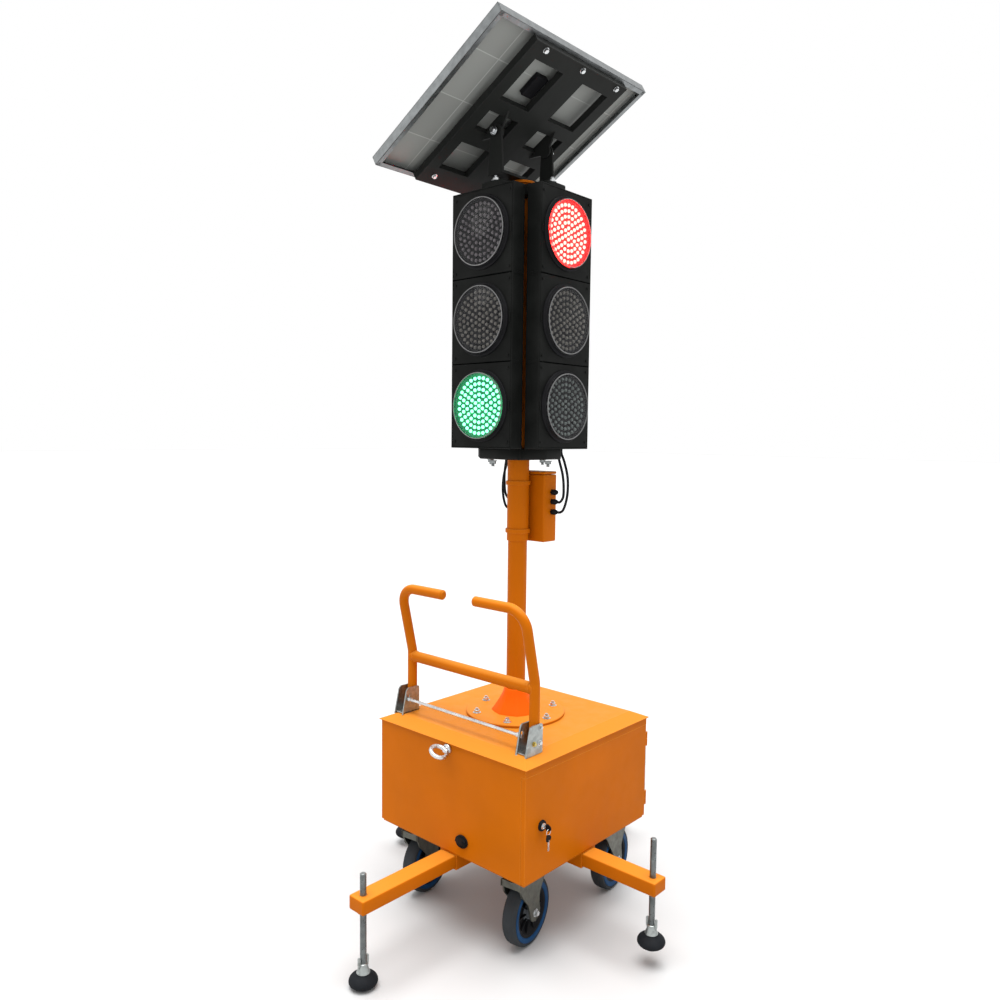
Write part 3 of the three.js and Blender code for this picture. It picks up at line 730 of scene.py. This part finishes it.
def add_lifting_eye():
    low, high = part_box("lifting_eye")
    wall = high.y
    centre = Vector(((low.x + high.x) / 2, wall - 0.036, (low.z + high.z) / 2))
    normal = Vector((math.cos(EYE_TILT), 0, math.sin(EYE_TILT)))
    place = towards((centre.x, wall, centre.z), -Y)
    shank = lathe([
        (0, 0), (0.0135, 0), (0.015, 0.0012), (0.015, 0.0055), (0.0135, 0.0075),
        (0.0095, 0.009), (0.0082, 0.0115), (0.0088, 0.015), (0, 0.0165),
    ], 48, place)
    eye = ring(0.024, 0.0062, towards(centre, normal), 72, 24)
    piece("lifting_eye_bolt", [eye, shank], "base", ZINC, "lifting_eye")


def add_socket_cap():
    low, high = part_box("charging_socket_cap")
    centre = (low + high) / 2
    half, other = (high.x - low.x) / 2, (high.z - low.z) / 2
    place = towards((centre.x, high.y, centre.z), -Y, X)

    def oval(inset):
        return [((half - inset) * a, (other - inset) * b) for a, b in circle(1, 64)]

    parts = [
        prism(oval(0), 0, 0.005, place, 0.0014, 3),
        prism(oval(0.005), 0.004, 0.0105, place, 0.0025, 4),
        prism(rectangle(0.012, 0.003), 0.009, 0.0112, place, 0.0008),
    ]
    for flank in FLANKS:
        screw = towards((centre.x + flank * 0.0195, high.y, centre.z), -Y)
        parts.append(disc(0.0022, 0.004, 0.0062, screw, 20, 0.0004))
    piece("socket_cap", parts, "base", BLACK_PLASTIC, "charging_socket_cap")


def add_contents():
    """The battery, with its six caps and two posts, and the finned charge controller."""
    low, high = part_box("battery")
    case_top, cover_top, caps = high.z - 0.022, high.z - 0.014, 6
    parts = [
        box(low, (high.x, high.y, case_top - 0.002), 0.006, 3),
        box((low.x, low.y, case_top), (high.x, high.y, cover_top), 0.003, 3),
    ]
    for k in range(caps):
        x = low.x + (high.x - low.x) * (k + 0.5) / caps
        place = towards((x, (low.y + high.y) / 2, 0))
        parts.append(disc(0.012, high.z - 0.015, high.z - 0.009, place, 24))
    piece("battery_case", parts, "base", GREY_PLASTIC, "battery")
    posts = [
        disc(0.009, high.z - 0.016, high.z, towards((high.x - 0.03, y, 0)), 24)
        for y in (low.y + 0.03, high.y - 0.03)
    ]
    piece("battery_posts", posts, "base", BRASS)

    low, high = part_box("charge_controller")
    middle = (low + high) / 2
    fins, pitch, thick = 10, 0.0137, 0.004
    case = (low.x + 0.006, low.y, low.z + 0.004), (high.x - 0.004, high.y, high.z - 0.004)
    parts = [box(*case, 0.004, 3)]
    for k in range(fins):
        y = low.y + thick + k * pitch
        parts.append(box((low.x, y, low.z), (high.x - 0.018, y + thick, high.z), 0.0008))
    piece("controller_case", parts, "base", BLACK_PLASTIC, "charge_controller")
    screen = box(
        (high.x - 0.006, middle.y - 0.03, middle.z - 0.005),
        (high.x - 0.0025, middle.y + 0.03, middle.z + 0.02), 0.001,
    )
    piece("controller_screen", [screen], "base", GREY_PLASTIC)


# ---- mast and control box

MAST = towards((0, 0, 0))
FLANGE_BOLT_CIRCLE = 0.128


def add_mast():
    low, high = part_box("mast_base")
    seat = low.z
    flange_radius = (high.x - low.x) / 2
    bore, thick = 0.0306, 0.008
    flange = lathe([
        (bore, seat), (flange_radius - 0.0015, seat), (flange_radius, seat + 0.0015),
        (flange_radius, seat + 0.0062), (flange_radius - 0.0018, seat + thick),
        (bore, seat + thick),
    ], 96, MAST)
    skirt = faceted_skirt(seat + 0.004, high.z, 0.08, 0.0365, bore)
    piece("mast_foot", [flange], "base", ORANGE, "mast_base")
    piece("mast_skirt", [skirt], "base", BRIGHT)
    bolts = []
    for x, y in circle(FLANGE_BOLT_CIRCLE, 6):
        bolts += bolt((x, y, seat + thick), Z, 0.0095, 0.007)
    piece("flange_bolts", bolts, "base", ZINC, sharp=30)

    low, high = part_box("mast_lower_tube")
    inner, outer = 0.026, 0.03
    wall = [(inner, low.z), (outer, low.z), (outer, high.z), (inner, high.z)]
    tube = lathe(wall, 72, MAST)
    piece("mast_tube", [tube], "base", ORANGE, "mast_lower_tube")
    low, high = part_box("mast_sleeve")
    cap, bore = high.z - 0.008, 0.0309
    sleeve = lathe([
        (bore, low.z + 0.001), (0.0318, low.z), (0.0332, low.z), (0.034, low.z + 0.001),
        (0.034, cap), (0.0415, cap), (0.043, cap + 0.001), (0.043, high.z - 0.0012),
        (0.0415, high.z), (0, high.z), (0, cap - 0.0003), (bore, cap - 0.0003),
    ], 72, MAST)
    piece("sleeve_tube", [sleeve], "heads", ORANGE, "mast_sleeve")
    add_control_box()


def faceted_skirt(low, high, foot, neck, bore):
    """Eight welded gusset faces that rise from the flange to the tube, each a little hollowed."""
    points, rings, sides, valley = [], 7, 16, 0.905
    for k in range(rings + 1):
        share = k / rings
        height = low + (high - low) * share
        ease = (1 - share) ** 1.35
        for i in range(sides):
            reach = neck + (foot - neck) * ease * (valley if i % 2 else 1.0)
            points.append((*polar(reach, i, sides), height))
    last, inner, top = rings * sides, (rings + 1) * sides, (rings + 2) * sides
    for height in (low, high):
        points += [(*place, height) for place in circle(bore, sides)]
    faces = []
    for i in range(sides):
        j = (i + 1) % sides
        faces += [(k + i, k + j, k + sides + j, k + sides + i) for k in range(0, last, sides)]
        faces.append((i, j, inner + j, inner + i))
        faces.append((inner + i, inner + j, top + j, top + i))
        faces.append((last + i, last + j, top + j, top + i))
    return bevelled(closed_form(points, faces), 0.0012, 2, 14)


def add_control_box():
    low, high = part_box("control_box")
    half, front, back, corner = 0.075, 0.037, high.y, 0.012
    outline = [(-half, front), (half, front)]
    outline += arc((half - corner, back - corner), corner, 0, 90, 6)
    outline += arc((corner - half, back - corner), corner, 90, 180, 6)
    parts = [
        prism(outline, low.z, high.z - 0.01, MAST, 0.004, 3),
        prism(outline, high.z - 0.0085, high.z, MAST, 0.003, 3),
    ]
    for z in (1.195, 1.345):
        strap = ((0.0352, -0.006), (0.0385, -0.006), (0.039, 0), (0.0385, 0.006), (0.0352, 0.006))
        parts.append(lathe([(radius, z + rise) for radius, rise in strap], 64, MAST))
    piece("control_box_casing", parts, "heads", ORANGE, "control_box")
    screws = [
        disc(0.0042, 0, 0.0022, towards((x, back, z), Y), 24, 0.0006)
        for x in (-0.06, 0.06) for z in (low.z + 0.02, high.z - 0.025)
    ]
    piece("control_box_screws", screws, "heads", ZINC)
    glands = []
    for flank in FLANKS:
        for height in (HIGH_GLAND, MIDDLE_GLAND, LOW_GLAND):
            place = towards((flank * half, GLAND_Y, height), X * flank)
            glands.append(prism(circle(0.0092, 6), 0, 0.006, place, 0.0008))
            glands.append(lathe([
                (0, 0.005), (0.0086, 0.006), (0.0088, 0.012), (0.0078, 0.0165), (0.0058, 0.0205),
                (0.0046, 0.0217), (0, 0.0217),
            ], 32, place))
            for k in range(3):
                rib = towards((flank * (half + 0.008 + 0.002 * k), GLAND_Y, height), X)
                glands.append(ring(0.0087, 0.0004, rib, 32, 6))
    piece("cable_glands", glands, "heads", BLACK_PLASTIC)


# ---- signal heads

LAMP_PITCH = 0.251
LAMP_NAMES = ("red", "amber", "green")
LENS_RADIUS = 0.0968
LED_ROWS, LED_SPACING, LED_RADIUS = 6, 0.0163, 0.0053
LIT = {("front", "green"), ("door_side", "red"), ("rear", "green"), ("far_side", "red")}
GLOWS = {
    "red": (PAINTED_RED_GLOW, LED_RED, RED_LENS),
    "green": (PAINTED_GREEN_GLOW, LED_GREEN, GREEN_LENS),
}
# The rim that holds the lens: a flat flange, a short hood with a rolled lip, and a seal.
LAMP_RIM = [
    (0.0975, -0.004), (0.107, -0.004), (0.107, 0.0035), (0.1055, 0.005), (0.1022, 0.0056),
    (0.1012, 0.0075), (0.1008, 0.0105), (0.0998, 0.0118), (0.0986, 0.0118), (0.0977, 0.0105),
]
LAMP_DISH = [(0, 0.0046), (0.088, 0.0046), (0.0955, 0.0075), (0.0955, -0.003), (0, -0.003)]
LED = [
    (0, 0.004), (LED_RADIUS, 0.004), (LED_RADIUS, 0.0055), (0.0045, 0.008), (0.0025, 0.0092),
    (0, 0.0096),
]
LENS_LIP = [
    (0.095, 0.015), (0.0972, 0.015), (0.0976, 0.0158), (0.0974, 0.0168), (0.0964, 0.0173),
    (0.095, 0.0172),
]


def add_head(side, angle):
    """One head, drawn as the front one and then turned about the mast."""
    spin = Matrix.Rotation(angle, 4, "Z")
    low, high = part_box(f"lamp_panel_{side}")
    bottom, top = low.z, high.z
    centre = (bottom + top) / 2
    face, half, seam = 0.176, 0.1172, 0.1217

    housing = [cad_copy(f"signal_head_{side}", 0.003, 3)]
    for z in (centre - LAMP_PITCH / 2, centre + LAMP_PITCH / 2):
        for flank in FLANKS:
            x = flank * seam
            rib = box((x - 0.0008, -0.172, z - 0.004), (x + 0.0008, -0.13, z + 0.004), 0.0006)
            housing.append(moved(rib, spin))
    piece(f"housing_{side}", housing, "heads", HOUSING, f"signal_head_{side}")

    doors, rims = [], []
    heights = (centre + LAMP_PITCH, centre, centre - LAMP_PITCH)
    for z in heights:
        first = max(z - LAMP_PITCH / 2 + 0.0012, bottom)
        last = min(z + LAMP_PITCH / 2 - 0.0012, top)
        doors.append(box((-half, -face, first), (half, -face + 0.006, last), 0.0022, 3))
        rims.append(lathe(LAMP_RIM, 96, towards((0, -face, z), -Y)))
        for flank in FLANKS:
            for height in (first + 0.016, last - 0.016):
                screw = towards((flank * 0.1065, -face, height), -Y)
                doors.append(disc(0.0042, -0.001, 0.0022, screw, 20, 0.0007))
            x = flank * 0.1125
            lug = (x - 0.0028, -face - 0.0032, z - 0.013), (x + 0.0028, -face + 0.001, z + 0.013)
            doors.append(box(*lug, 0.0012))
    piece(f"lamp_doors_{side}", doors, "heads", HOUSING, f"lamp_panel_{side}", place=spin)
    piece(f"lamp_rims_{side}", rims, "heads", BLACK_PLASTIC, place=spin)
    for name, z in zip(LAMP_NAMES, heights):
        add_lamp(side, name, Vector((0, -face, z)), spin)


def add_lamp(side, name, at, spin):
    place = towards(at, -Y)
    dark = (LAMP_DARK, LED_OFF[name], SMOKED)
    field, leds, lens = GLOWS[name] if (side, name) in LIT else dark

    def lamp_piece(kind, parts, finish):
        piece(f"{kind}_{side}_{name}", parts, "heads", finish, place=spin)

    # In a lit lamp the dish carries the painted glow of its LEDs' spilt light.
    lamp_piece("lamp_dish", [lathe(LAMP_DISH, 72, place)], field)
    dots = []
    for row in range(LED_ROWS):
        count = max(1, 6 * row)
        for i in range(count):
            a, b = polar(LED_SPACING * row, i + 0.5 * (row % 2), count)
            dots.append(lathe(LED, 12, towards((at.x + a, at.y, at.z + b), -Y)))
    lamp_piece("leds", dots, leds)

    rings = 10
    dome = [(LENS_RADIUS * k / rings, 0.024 - 0.0075 * (k / rings) ** 2) for k in range(rings + 1)]
    barrel = [(LENS_RADIUS, 0.008), (LENS_RADIUS - 0.0016, 0.008)]
    inside = [(r * 0.983, h - 0.0016) for r, h in reversed(dome)]
    lamp_piece("lens", [lathe(dome + barrel + inside, 72, place)], lens)
    lamp_piece("lens_lip", [lathe(LENS_LIP, 96, place)], LENS_EDGE)


def add_heads():
    for side, angle in zip(SIDES, (0, math.pi / 2, math.pi, -math.pi / 2)):
        add_head(side, angle)
    for end, out, recess, stud, steel in (
        ("bottom", -1, 0.0215, 0.01, THREAD_STEEL), ("top", 1, 0.0165, 0.006, ZINC),
    ):
        node = f"head_bracket_{end}"
        low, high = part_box(node)
        inner, outer = (low.z, high.z - recess) if out > 0 else (high.z, low.z + recess)
        cross = cross_plate(high.x, inner, outer, out)
        piece(f"head_cross_{end}", [cross], "heads", BLACK_PAINT, node)
        bolts = []
        for x, y in ((0.118, 0), (0, 0.118), (-0.118, 0), (0, -0.118)):
            bolts += bolt((x, y, outer), Z * out, 0.0095, stud)
        piece(f"head_bolts_{end}", bolts, "heads", (ZINC[0], steel[1]), sharp=30)


def cross_plate(reach, inner, outer, out):
    """A cross of four arms with eased ends, each thinner towards its tip."""
    half, corner, level = 0.042, 0.01, 0.09
    outline = []
    for k in range(4):
        spin = Matrix.Rotation(math.pi / 2 * k, 2)
        arm = [(half, -half), *arc((reach - corner, corner - half), corner, -90, 0, 4)]
        arm += arc((reach - corner, half - corner), corner, 0, 90, 4)
        outline += [tuple(spin @ Vector(p)) for p in arm]
    bm = prism(outline, *sorted((inner, outer)), MAST, 0.004, 3)
    for vert in bm.verts:
        tip = max(abs(vert.co.x), abs(vert.co.y))
        if abs(vert.co.z - outer) < 0.006 and tip > level:
            vert.co.z -= out * 0.1 * (tip - level)
    return bm


# ---- handle

def add_handle():
    low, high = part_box("handle")
    radius = 0.015
    post_x, grip_y, grip_z = high.x - radius, low.y + radius, high.z - radius
    post_y, foot = joint_at("handle_fold").y, low.z
    grip_end, bend_z, bar_z, bar_radius = 0.062, 0.805, 0.787, 0.017
    parts = []
    for side in FLANKS:
        x = side * post_x
        corners = [
            (x, post_y, foot), (x, post_y, bend_z), (x, grip_y, grip_z),
            (side * grip_end, grip_y, grip_z),
        ]
        parts.append(sweep(rounded_path(corners, 0.06, 14), radius, 28))
        weld = towards((side * (post_x - radius - 0.0005), post_y, bar_z), X)
        parts.append(ring(bar_radius - 0.0008, 0.0026, weld, 40, 8))
    parts.append(sweep([(x, post_y, bar_z) for x in (-post_x, 0, post_x)], bar_radius, 28, 0.02))
    piece("handle_tube", parts, "handle", ORANGE, "handle")

    low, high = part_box("handle_lock_rod")
    centre = (low + high) / 2
    rod = sweep([(x, centre.y, centre.z) for x in (low.x, 0, high.x)], 0.005, 24, 0.2)
    collars = [
        disc(0.0078, -0.004, 0.004, towards((side * 0.226, centre.y, centre.z), X), 32)
        for side in FLANKS
    ]
    piece("lock_rod", [rod, *collars], "handle_lock_rod", ZINC, "handle_lock_rod")
    for name, side in (("left", -1), ("right", 1)):
        add_handle_bracket(name, side)


LID_FLAT = 0.262
PLATE_BOLT = (-0.208, 0.68)
PLATE_STOP = (-0.236, 0.64)


def add_handle_bracket(name, side):
    """Two upright plates on a foot. The inner one has a slot that the lock rod rises in."""
    node = f"handle_bracket_{name}"
    low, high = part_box(node)
    _, pivot_y, pivot_z = joint_at("handle_fold")
    inner, outer, thick, drop = 0.2355, 0.2705, 0.004, 0.0036
    seat, top = low.z + drop, high.z
    place = towards((0, 0, 0), X * side, Y)
    edge = [(high.y, top - 0.008)] + arc((high.y - 0.008, top - 0.008), 0.008, 10, 90, 6)
    edge += [
        (low.y + 0.027, top), (low.y + 0.02, top - 0.003), (low.y + 0.0165, top - 0.01),
        (low.y, low.z),
    ]

    def facing(points):
        return [(y, side * z) for y, z in points]

    rod_low, rod_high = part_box("handle_lock_rod")
    slot_y, half = (rod_low.y + rod_high.y) / 2, 0.0056
    slot = [(slot_y - half, rod_low.z - 0.0004), (slot_y + half, rod_low.z - 0.0004)]
    slot += arc((slot_y, rod_high.z + 0.0112 - half), half, 0, 180, 12)
    inner_outline = facing([(-LID_FLAT, seat), (high.y, seat), *edge])
    left, right = sorted((side * inner, side * (outer + thick)))
    parts = [
        slotted_plate(inner_outline, facing(slot), inner, thick, place),
        prism(facing([(high.y, low.z), *edge]), outer, outer + thick, place, 0.0009),
        box((left, low.y + 0.004, seat), (right, high.y, seat + 0.004), 0.0008),
    ]
    piece(f"bracket_{name}", parts, "base", GALVANISED, node)
    out, face = X * side, side * (outer + thick)
    pivot = (face, pivot_y, pivot_z)
    shaft = sweep([(side * inner, pivot_y, pivot_z), pivot], 0.005, 20, 0.05)
    fasteners = [*bolt(pivot, out, 0.006), shaft]
    fasteners += bolt((face, *PLATE_BOLT), out, 0.005)
    piece(f"bracket_bolts_{name}", fasteners, "base", ZINC, sharp=30)
    stop = bolt((face, *PLATE_STOP), out, 0.0055)
    piece(f"bracket_stop_{name}", stop, "base", YELLOW_ZINC, sharp=30)


def slotted_plate(outline, slot, low, thick, place):
    """A plate with one hole, its two faces filled between the outline and the hole."""
    bm = bmesh.new()
    loops = []
    for height in (low, low + thick):
        edges = []
        for loop in (outline, slot):
            verts = [bm.verts.new((a, b, height)) for a, b in loop]
            edges += [bm.edges.new(pair) for pair in zip(verts, verts[1:] + verts[:1])]
            loops.append(verts)
        bmesh.ops.triangle_fill(bm, use_beauty=True, use_dissolve=False, edges=edges)
    for below, above in ((loops[0], loops[2]), (loops[1], loops[3])):
        for i in range(len(below)):
            j = (i + 1) % len(below)
            bm.faces.new((below[i], below[j], above[j], above[i]))
    bmesh.ops.recalc_face_normals(bm, faces=bm.faces)
    join_facets(bm)
    return bevelled(moved(bm, place), 0.0007)


# ---- outriggers and jacks

ARM_LENGTH = 0.43
THREAD_RADIUS, THREAD_PITCH = 0.009, 0.0025


def add_outrigger(side):
    arm, screw, foot = f"arm_{side}", f"jack_screw_{side}", f"jack_foot_{side}"
    x, y, _ = joint_at(f"jack_turn_{side}")
    out = Vector(JOINTS[f"arm_slide_{side}"]["axis"])
    across = Z.cross(out)
    node = f"outrigger_arm_{side}"
    low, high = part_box(node)
    nut_height = 0.008
    bottom, top = low.z + nut_height, high.z
    tip = Vector((x, y, (bottom + top) / 2)) + out * 0.025
    bar = prism(rectangle(0.03, 0.02), -ARM_LENGTH, 0, towards(tip, out, across), 0.0045, 4)
    bush = lathe([
        (0.0097, 0), (0.0118, 0), (0.0122, 0.0078), (0.0115, 0.0088), (0.0097, 0.0088),
    ], 40, towards((x, y, top - 0.008)))
    nut = lathe([
        (0.0097, 0), (0.0148, 0), (0.016, 0.0012), (0.016, 0.01), (0.0097, 0.01),
    ], 40, towards((x, y, bottom - nut_height)))
    piece(f"arm_bar_{side}", [bar, bush, nut], arm, ORANGE, node)

    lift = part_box(foot)[0].z
    low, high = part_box(screw)
    length = high.z - low.z - 0.0008
    rod = threaded(Vector((x, y, low.z)), Z, THREAD_RADIUS, length, THREAD_PITCH, 20)
    end = disc(0.0075, high.z - 0.003, high.z, towards((x, y, 0)), 24)
    piece(f"jack_thread_{side}", [rod, end], screw, THREAD_STEEL, screw, sharp=25)

    stand = towards((x, y, lift))
    hub = lathe([
        (0, 0.0384), (0.018, 0.0384), (0.0188, 0.0395), (0.0172, 0.045), (0.0142, 0.052),
        (0.0128, 0.059), (0.0122, 0.0645), (0.0105, 0.066), (0, 0.066),
    ], 40, stand)
    wing = [(0.006, 0.05), (0.0135, 0.05), (0.0178, 0.062)]
    wing += [*arc((0.0144, 0.0805), 0.0034, 0, 180, 8), (0.0105, 0.066)]
    upright = standing((x, y, lift), out, across)
    ears = [
        prism([(flank * a, b) for a, b in wing], -0.0028, 0.0028, upright, 0.001, 3)
        for flank in FLANKS
    ]
    piece(f"jack_wing_{side}", [hub, *ears], screw, GALVANISED)

    bell, steps, taller = [(0, 0), (0.025, 0)], 14, 1.22
    for k in range(steps + 1):
        angle = math.radians(-82 + 146 * k / steps)
        rise = math.sin(angle) * (1.0 if angle < 0 else taller)
        bell.append((0.013 + 0.027 * math.cos(angle), 0.016 + 0.0158 * rise))
    bell += [
        (0.0205, 0.0362), (0.019, 0.0378), (0.0108, 0.0378), (0.0102, 0.0366), (0.0102, 0.0202),
        (0, 0.0202),
    ]
    piece(f"jack_rubber_{side}", [lathe(bell, 64, stand)], foot, RUBBER, foot)


# ---- castors

WHEEL_RINGS = (  # name, sides, upper half of the profile, and finish
    ("tyre", 96, [
        (0.086, 0.019), (0.089, 0.0222), (0.0945, 0.0215), (0.098, 0.018), (0.0997, 0.012),
        (0.1, 0.005),
    ], TYRE),
    ("band", 96, [
        (0.0725, 0.0185), (0.0745, 0.022), (0.08, 0.0229), (0.087, 0.0226), (0.0885, 0.019),
    ], WHEEL_BLUE),
    ("rim", 96, [
        (0.025, 0.009), (0.05, 0.0085), (0.06, 0.012), (0.066, 0.0195), (0.073, 0.0205),
        (0.074, 0.018),
    ], BLACK_PLASTIC),
    ("wheel_hub", 64, [
        (0.0069, 0.026), (0.0165, 0.026), (0.0185, 0.024), (0.02, 0.02), (0.0205, 0.012),
        (0.03, 0.0095),
    ], (WHEEL_BLUE[0], GREY_PLASTIC[1])),
)


def add_castor(name):
    fork, wheel, brake = f"castor_{name}", f"wheel_{name}", f"brake_{name}"
    hub = joint_at(f"wheel_spin_{name}")
    axle = Vector(JOINTS[f"wheel_spin_{name}"]["axis"])
    place = towards(hub, axle)
    piece(
        f"fork_pressing_{name}", fork_forms(name, hub, axle), fork, FORK_STEEL,
        f"castor_fork_{name}",
    )
    nuts = []
    for flank in FLANKS:
        nuts += bolt(hub + axle * flank * 0.032, axle * flank, 0.0085)
    piece(f"axle_nuts_{name}", nuts, fork, (FORK_STEEL[0], ZINC[1]), sharp=30)
    for kind, sides, half, finish in WHEEL_RINGS:
        parts = [lathe(mirrored(half), sides, place)]
        parts += wheel_ribs(place) if kind == "rim" else []
        nodes = [f"castor_wheel_{name}"] if kind == "tyre" else []
        piece(f"{kind}_{name}", parts, wheel, finish, *nodes)
    copied(f"pedal_{name}", f"brake_pedal_{name}", brake, BLACK_PLASTIC, 0.0012, 3)


def wheel_ribs(place, count=10):
    """The ribs on each side of the wheel's web."""
    ribs = []
    for i in range(count):
        spin = place @ Matrix.Rotation(2 * math.pi * i / count, 4, "Z")
        for flank in FLANKS:
            low, high = sorted((flank * 0.007, flank * 0.0165))
            ribs.append(moved(box((0.024, -0.0016, low), (0.0665, 0.0016, high), 0.0006), spin))
    return ribs


def fork_forms(name, hub, axle):
    """A pressed fork: swivel head with its ball race, crown and two tapering legs."""
    x, y, _ = joint_at(f"castor_swivel_{name}")
    trail = hub - Vector((x, y, hub.z))
    reach = trail.length
    along = trail / reach
    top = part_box(f"castor_fork_{name}")[1].z
    crown_top = 0.2205
    upright = towards((x, y, 0), Z, along)
    race = lathe([
        (0, 0.216), (0.036, 0.216), (0.0385, 0.219), (0.0385, 0.2235), (0.0345, 0.2255),
        (0.0345, 0.2275), (0.0375, 0.229), (0.038, 0.233), (0.036, 0.236), (0.03, top), (0, top),
    ], 56, upright)
    crown = [
        (-0.036, -0.03), (0.03, -0.03), (0.042, -0.02), (0.042, 0.02), (0.03, 0.03),
        (-0.036, 0.03),
    ]
    leg = [(-0.032, 0.2215), (0.098, 0.2215), *arc((0.098, 0.2115), 0.01, 60, 0, 4)]
    leg += [(0.1065, 0.203), (reach + 0.0255, 0.156), (reach + 0.0215, 0.14)]
    leg += arc((reach, hub.z), 0.025, 6, -186, 18)
    leg += [(reach - 0.04, 0.14), (-0.02, 0.178), (-0.032, 0.203)]
    beside = standing((x, y, 0), along, axle)
    forms = [race, prism(crown, 0.206, crown_top, upright, 0.003, 3)]
    for flank in FLANKS:
        low, high = sorted((-flank * 0.027, -flank * 0.032))
        forms.append(prism(leg, low, high, beside, 0.0016, 3))
        middle = flank * 0.0228
        ear = box((0.038, middle - 0.0022, 0.206), (0.056, middle + 0.0022, crown_top), 0.001)
        forms.append(moved(ear, upright))
    forms.append(sweep([hub - axle * 0.035, hub, hub + axle * 0.035], 0.006, 24, 0.1))
    ends = [upright @ Vector((0.05, across, 0.213)) for across in (-0.022, 0, 0.022)]
    forms.append(sweep(ends, 0.0025, 16, 0.1))
    return forms


# ---- solar panel and its frame

PANEL_TILT = math.radians(29.4)
PANEL_SIZE = (0.571, 0.67)
PANEL_CENTRE = (0.0046, -0.017)
LADDER_UNDER, PANEL_UNDER, PANEL_THICK = 0.0248, 0.0468, 0.03
LADDER_BOLTS = ((0.266, -0.161), (0.266, 0.005), (0.266, 0.172), (-0.236, -0.161), (-0.236, 0.172))


def add_panel():
    copied("tilt_fork", "tilt_yoke", "heads", BLACK_PAINT, 0.0015, 2)
    copied("ladder_frame", "panel_ladder_frame", "panel", BLACK_PAINT, 0.0016, 2)
    pivot = joint_at("panel_tilt")
    tilt = Matrix.Translation(pivot) @ Matrix.Rotation(-PANEL_TILT, 4, "Y")
    down = tilt.to_3x3() @ -Z
    fasteners = []
    for side in FLANKS:
        fasteners += bolt(pivot + Y * side * 0.13, Y * side, 0.01)
    for along, across in LADDER_BOLTS:
        fasteners += bolt(tilt @ Vector((along, across, LADDER_UNDER)), down, 0.0062)
    piece("frame_bolts", fasteners, "panel", ZINC, sharp=30)

    low = [c - size / 2 for c, size in zip(PANEL_CENTRE, PANEL_SIZE)]
    high = [c + size / 2 for c, size in zip(PANEL_CENTRE, PANEL_SIZE)]
    under, over = PANEL_UNDER, PANEL_UNDER + PANEL_THICK
    layers = (  # width, bottom, top, inset of the long bars, edge rounding
        (0.015, under, under + 0.0022, 0.001, 0.0006),
        (0.0022, under, over, 0, 0.0006),
        (0.011, over - 0.0025, over, 0, 0.0007),
    )
    bars = []
    for end in (0, 1):
        for width, bottom, top, inset, rounding in layers:
            x, y = ((low[k], high[k] - width)[end] for k in (0, 1))
            bars.append(box((x, low[1], bottom), (x + width, high[1], top), rounding))
            left, right = low[0] + inset, high[0] - inset
            bars.append(box((left, y, bottom), (right, y + width, top), rounding))
    piece("panel_frame", bars, "panel", ALUMINIUM, "solar_panel", place=tilt)

    def sheet(bottom, top, inset=0.0025):
        return box(
            (low[0] + inset, low[1] + inset, under + bottom),
            (high[0] - inset, high[1] - inset, under + top),
        )

    middle = tilt @ Vector((*PANEL_CENTRE, 0))
    backing = celled("back_sheet", (0.27, 0.28, 0.265), (0.36, 0.37, 0.355), 0.6, middle)
    piece("panel_back_sheet", [sheet(0.022, 0.0235)], "panel", backing, place=tilt)
    cells = celled(
        "solar_cells", (0.006, 0.012, 0.045), (0.33, 0.35, 0.38), 0.2, middle, busbars=True,
    )
    piece("panel_glass", [sheet(0.0237, 0.0272)], "panel", cells, place=tilt)
    junction = box((0.105, -0.086, under + 0.004), (0.18, -0.04, under + 0.0218), 0.003, 3)
    piece("junction_box", [junction], "panel", BLACK_PLASTIC, place=tilt)


# ---- floor and light

def add_floor():
    size, drop = 60.0, 0.0008
    corners = [(*corner, -drop) for corner in rectangle(size, size)]
    mesh = bpy.data.meshes.new("floor")
    mesh.from_pydata(corners, [], [range(4)])
    m = Material("floor", (0.48, 0.48, 0.48), 0.6)
    m.base(m.ramp(m.noise(1.5, 4), [(0.3, (0.47, 0.47, 0.47)), (0.7, (0.49, 0.49, 0.49))]))
    mesh.materials.append(m.material)
    new_object("floor", mesh)


def add_light(name, kind, place, aim, power):
    data = bpy.data.lights.new(name, kind)
    data.energy = power
    light = new_object(name, data)
    light.location = place
    gaze = Vector(aim) - Vector(place)
    light.rotation_euler = gaze.to_track_quat("-Z", "Y").to_euler()
    return data


def add_lighting():
    world = bpy.data.worlds.new("studio")
    world.use_nodes = True
    background = world.node_tree.nodes["Background"]
    background.inputs["Color"].default_value = (1, 1, 1, 1)
    background.inputs["Strength"].default_value = 1
    bpy.context.scene.world = world
    sky = add_light("sky_panel", "SUN", (0.15, -0.3, 5), (0, 0, 0), 4.7)
    sky.angle = math.radians(50)
    key = add_light("key", "AREA", (-2.6, -3.2, 3.4), (0, 0, 1.2), 5)
    key.shape = "DISK"
    key.size = 1.2
    key.color = (1, 0.985, 0.96)
    bpy.context.scene.view_settings.view_transform = "Standard"


# ---- everything

add_camera()
add_cables()
add_cabinet()
add_mast()
add_heads()
add_handle()
for outrigger in SIDES:
    add_outrigger(outrigger)
for castor in CASTORS:
    add_castor(castor)
add_panel()
add_floor()
add_lighting()
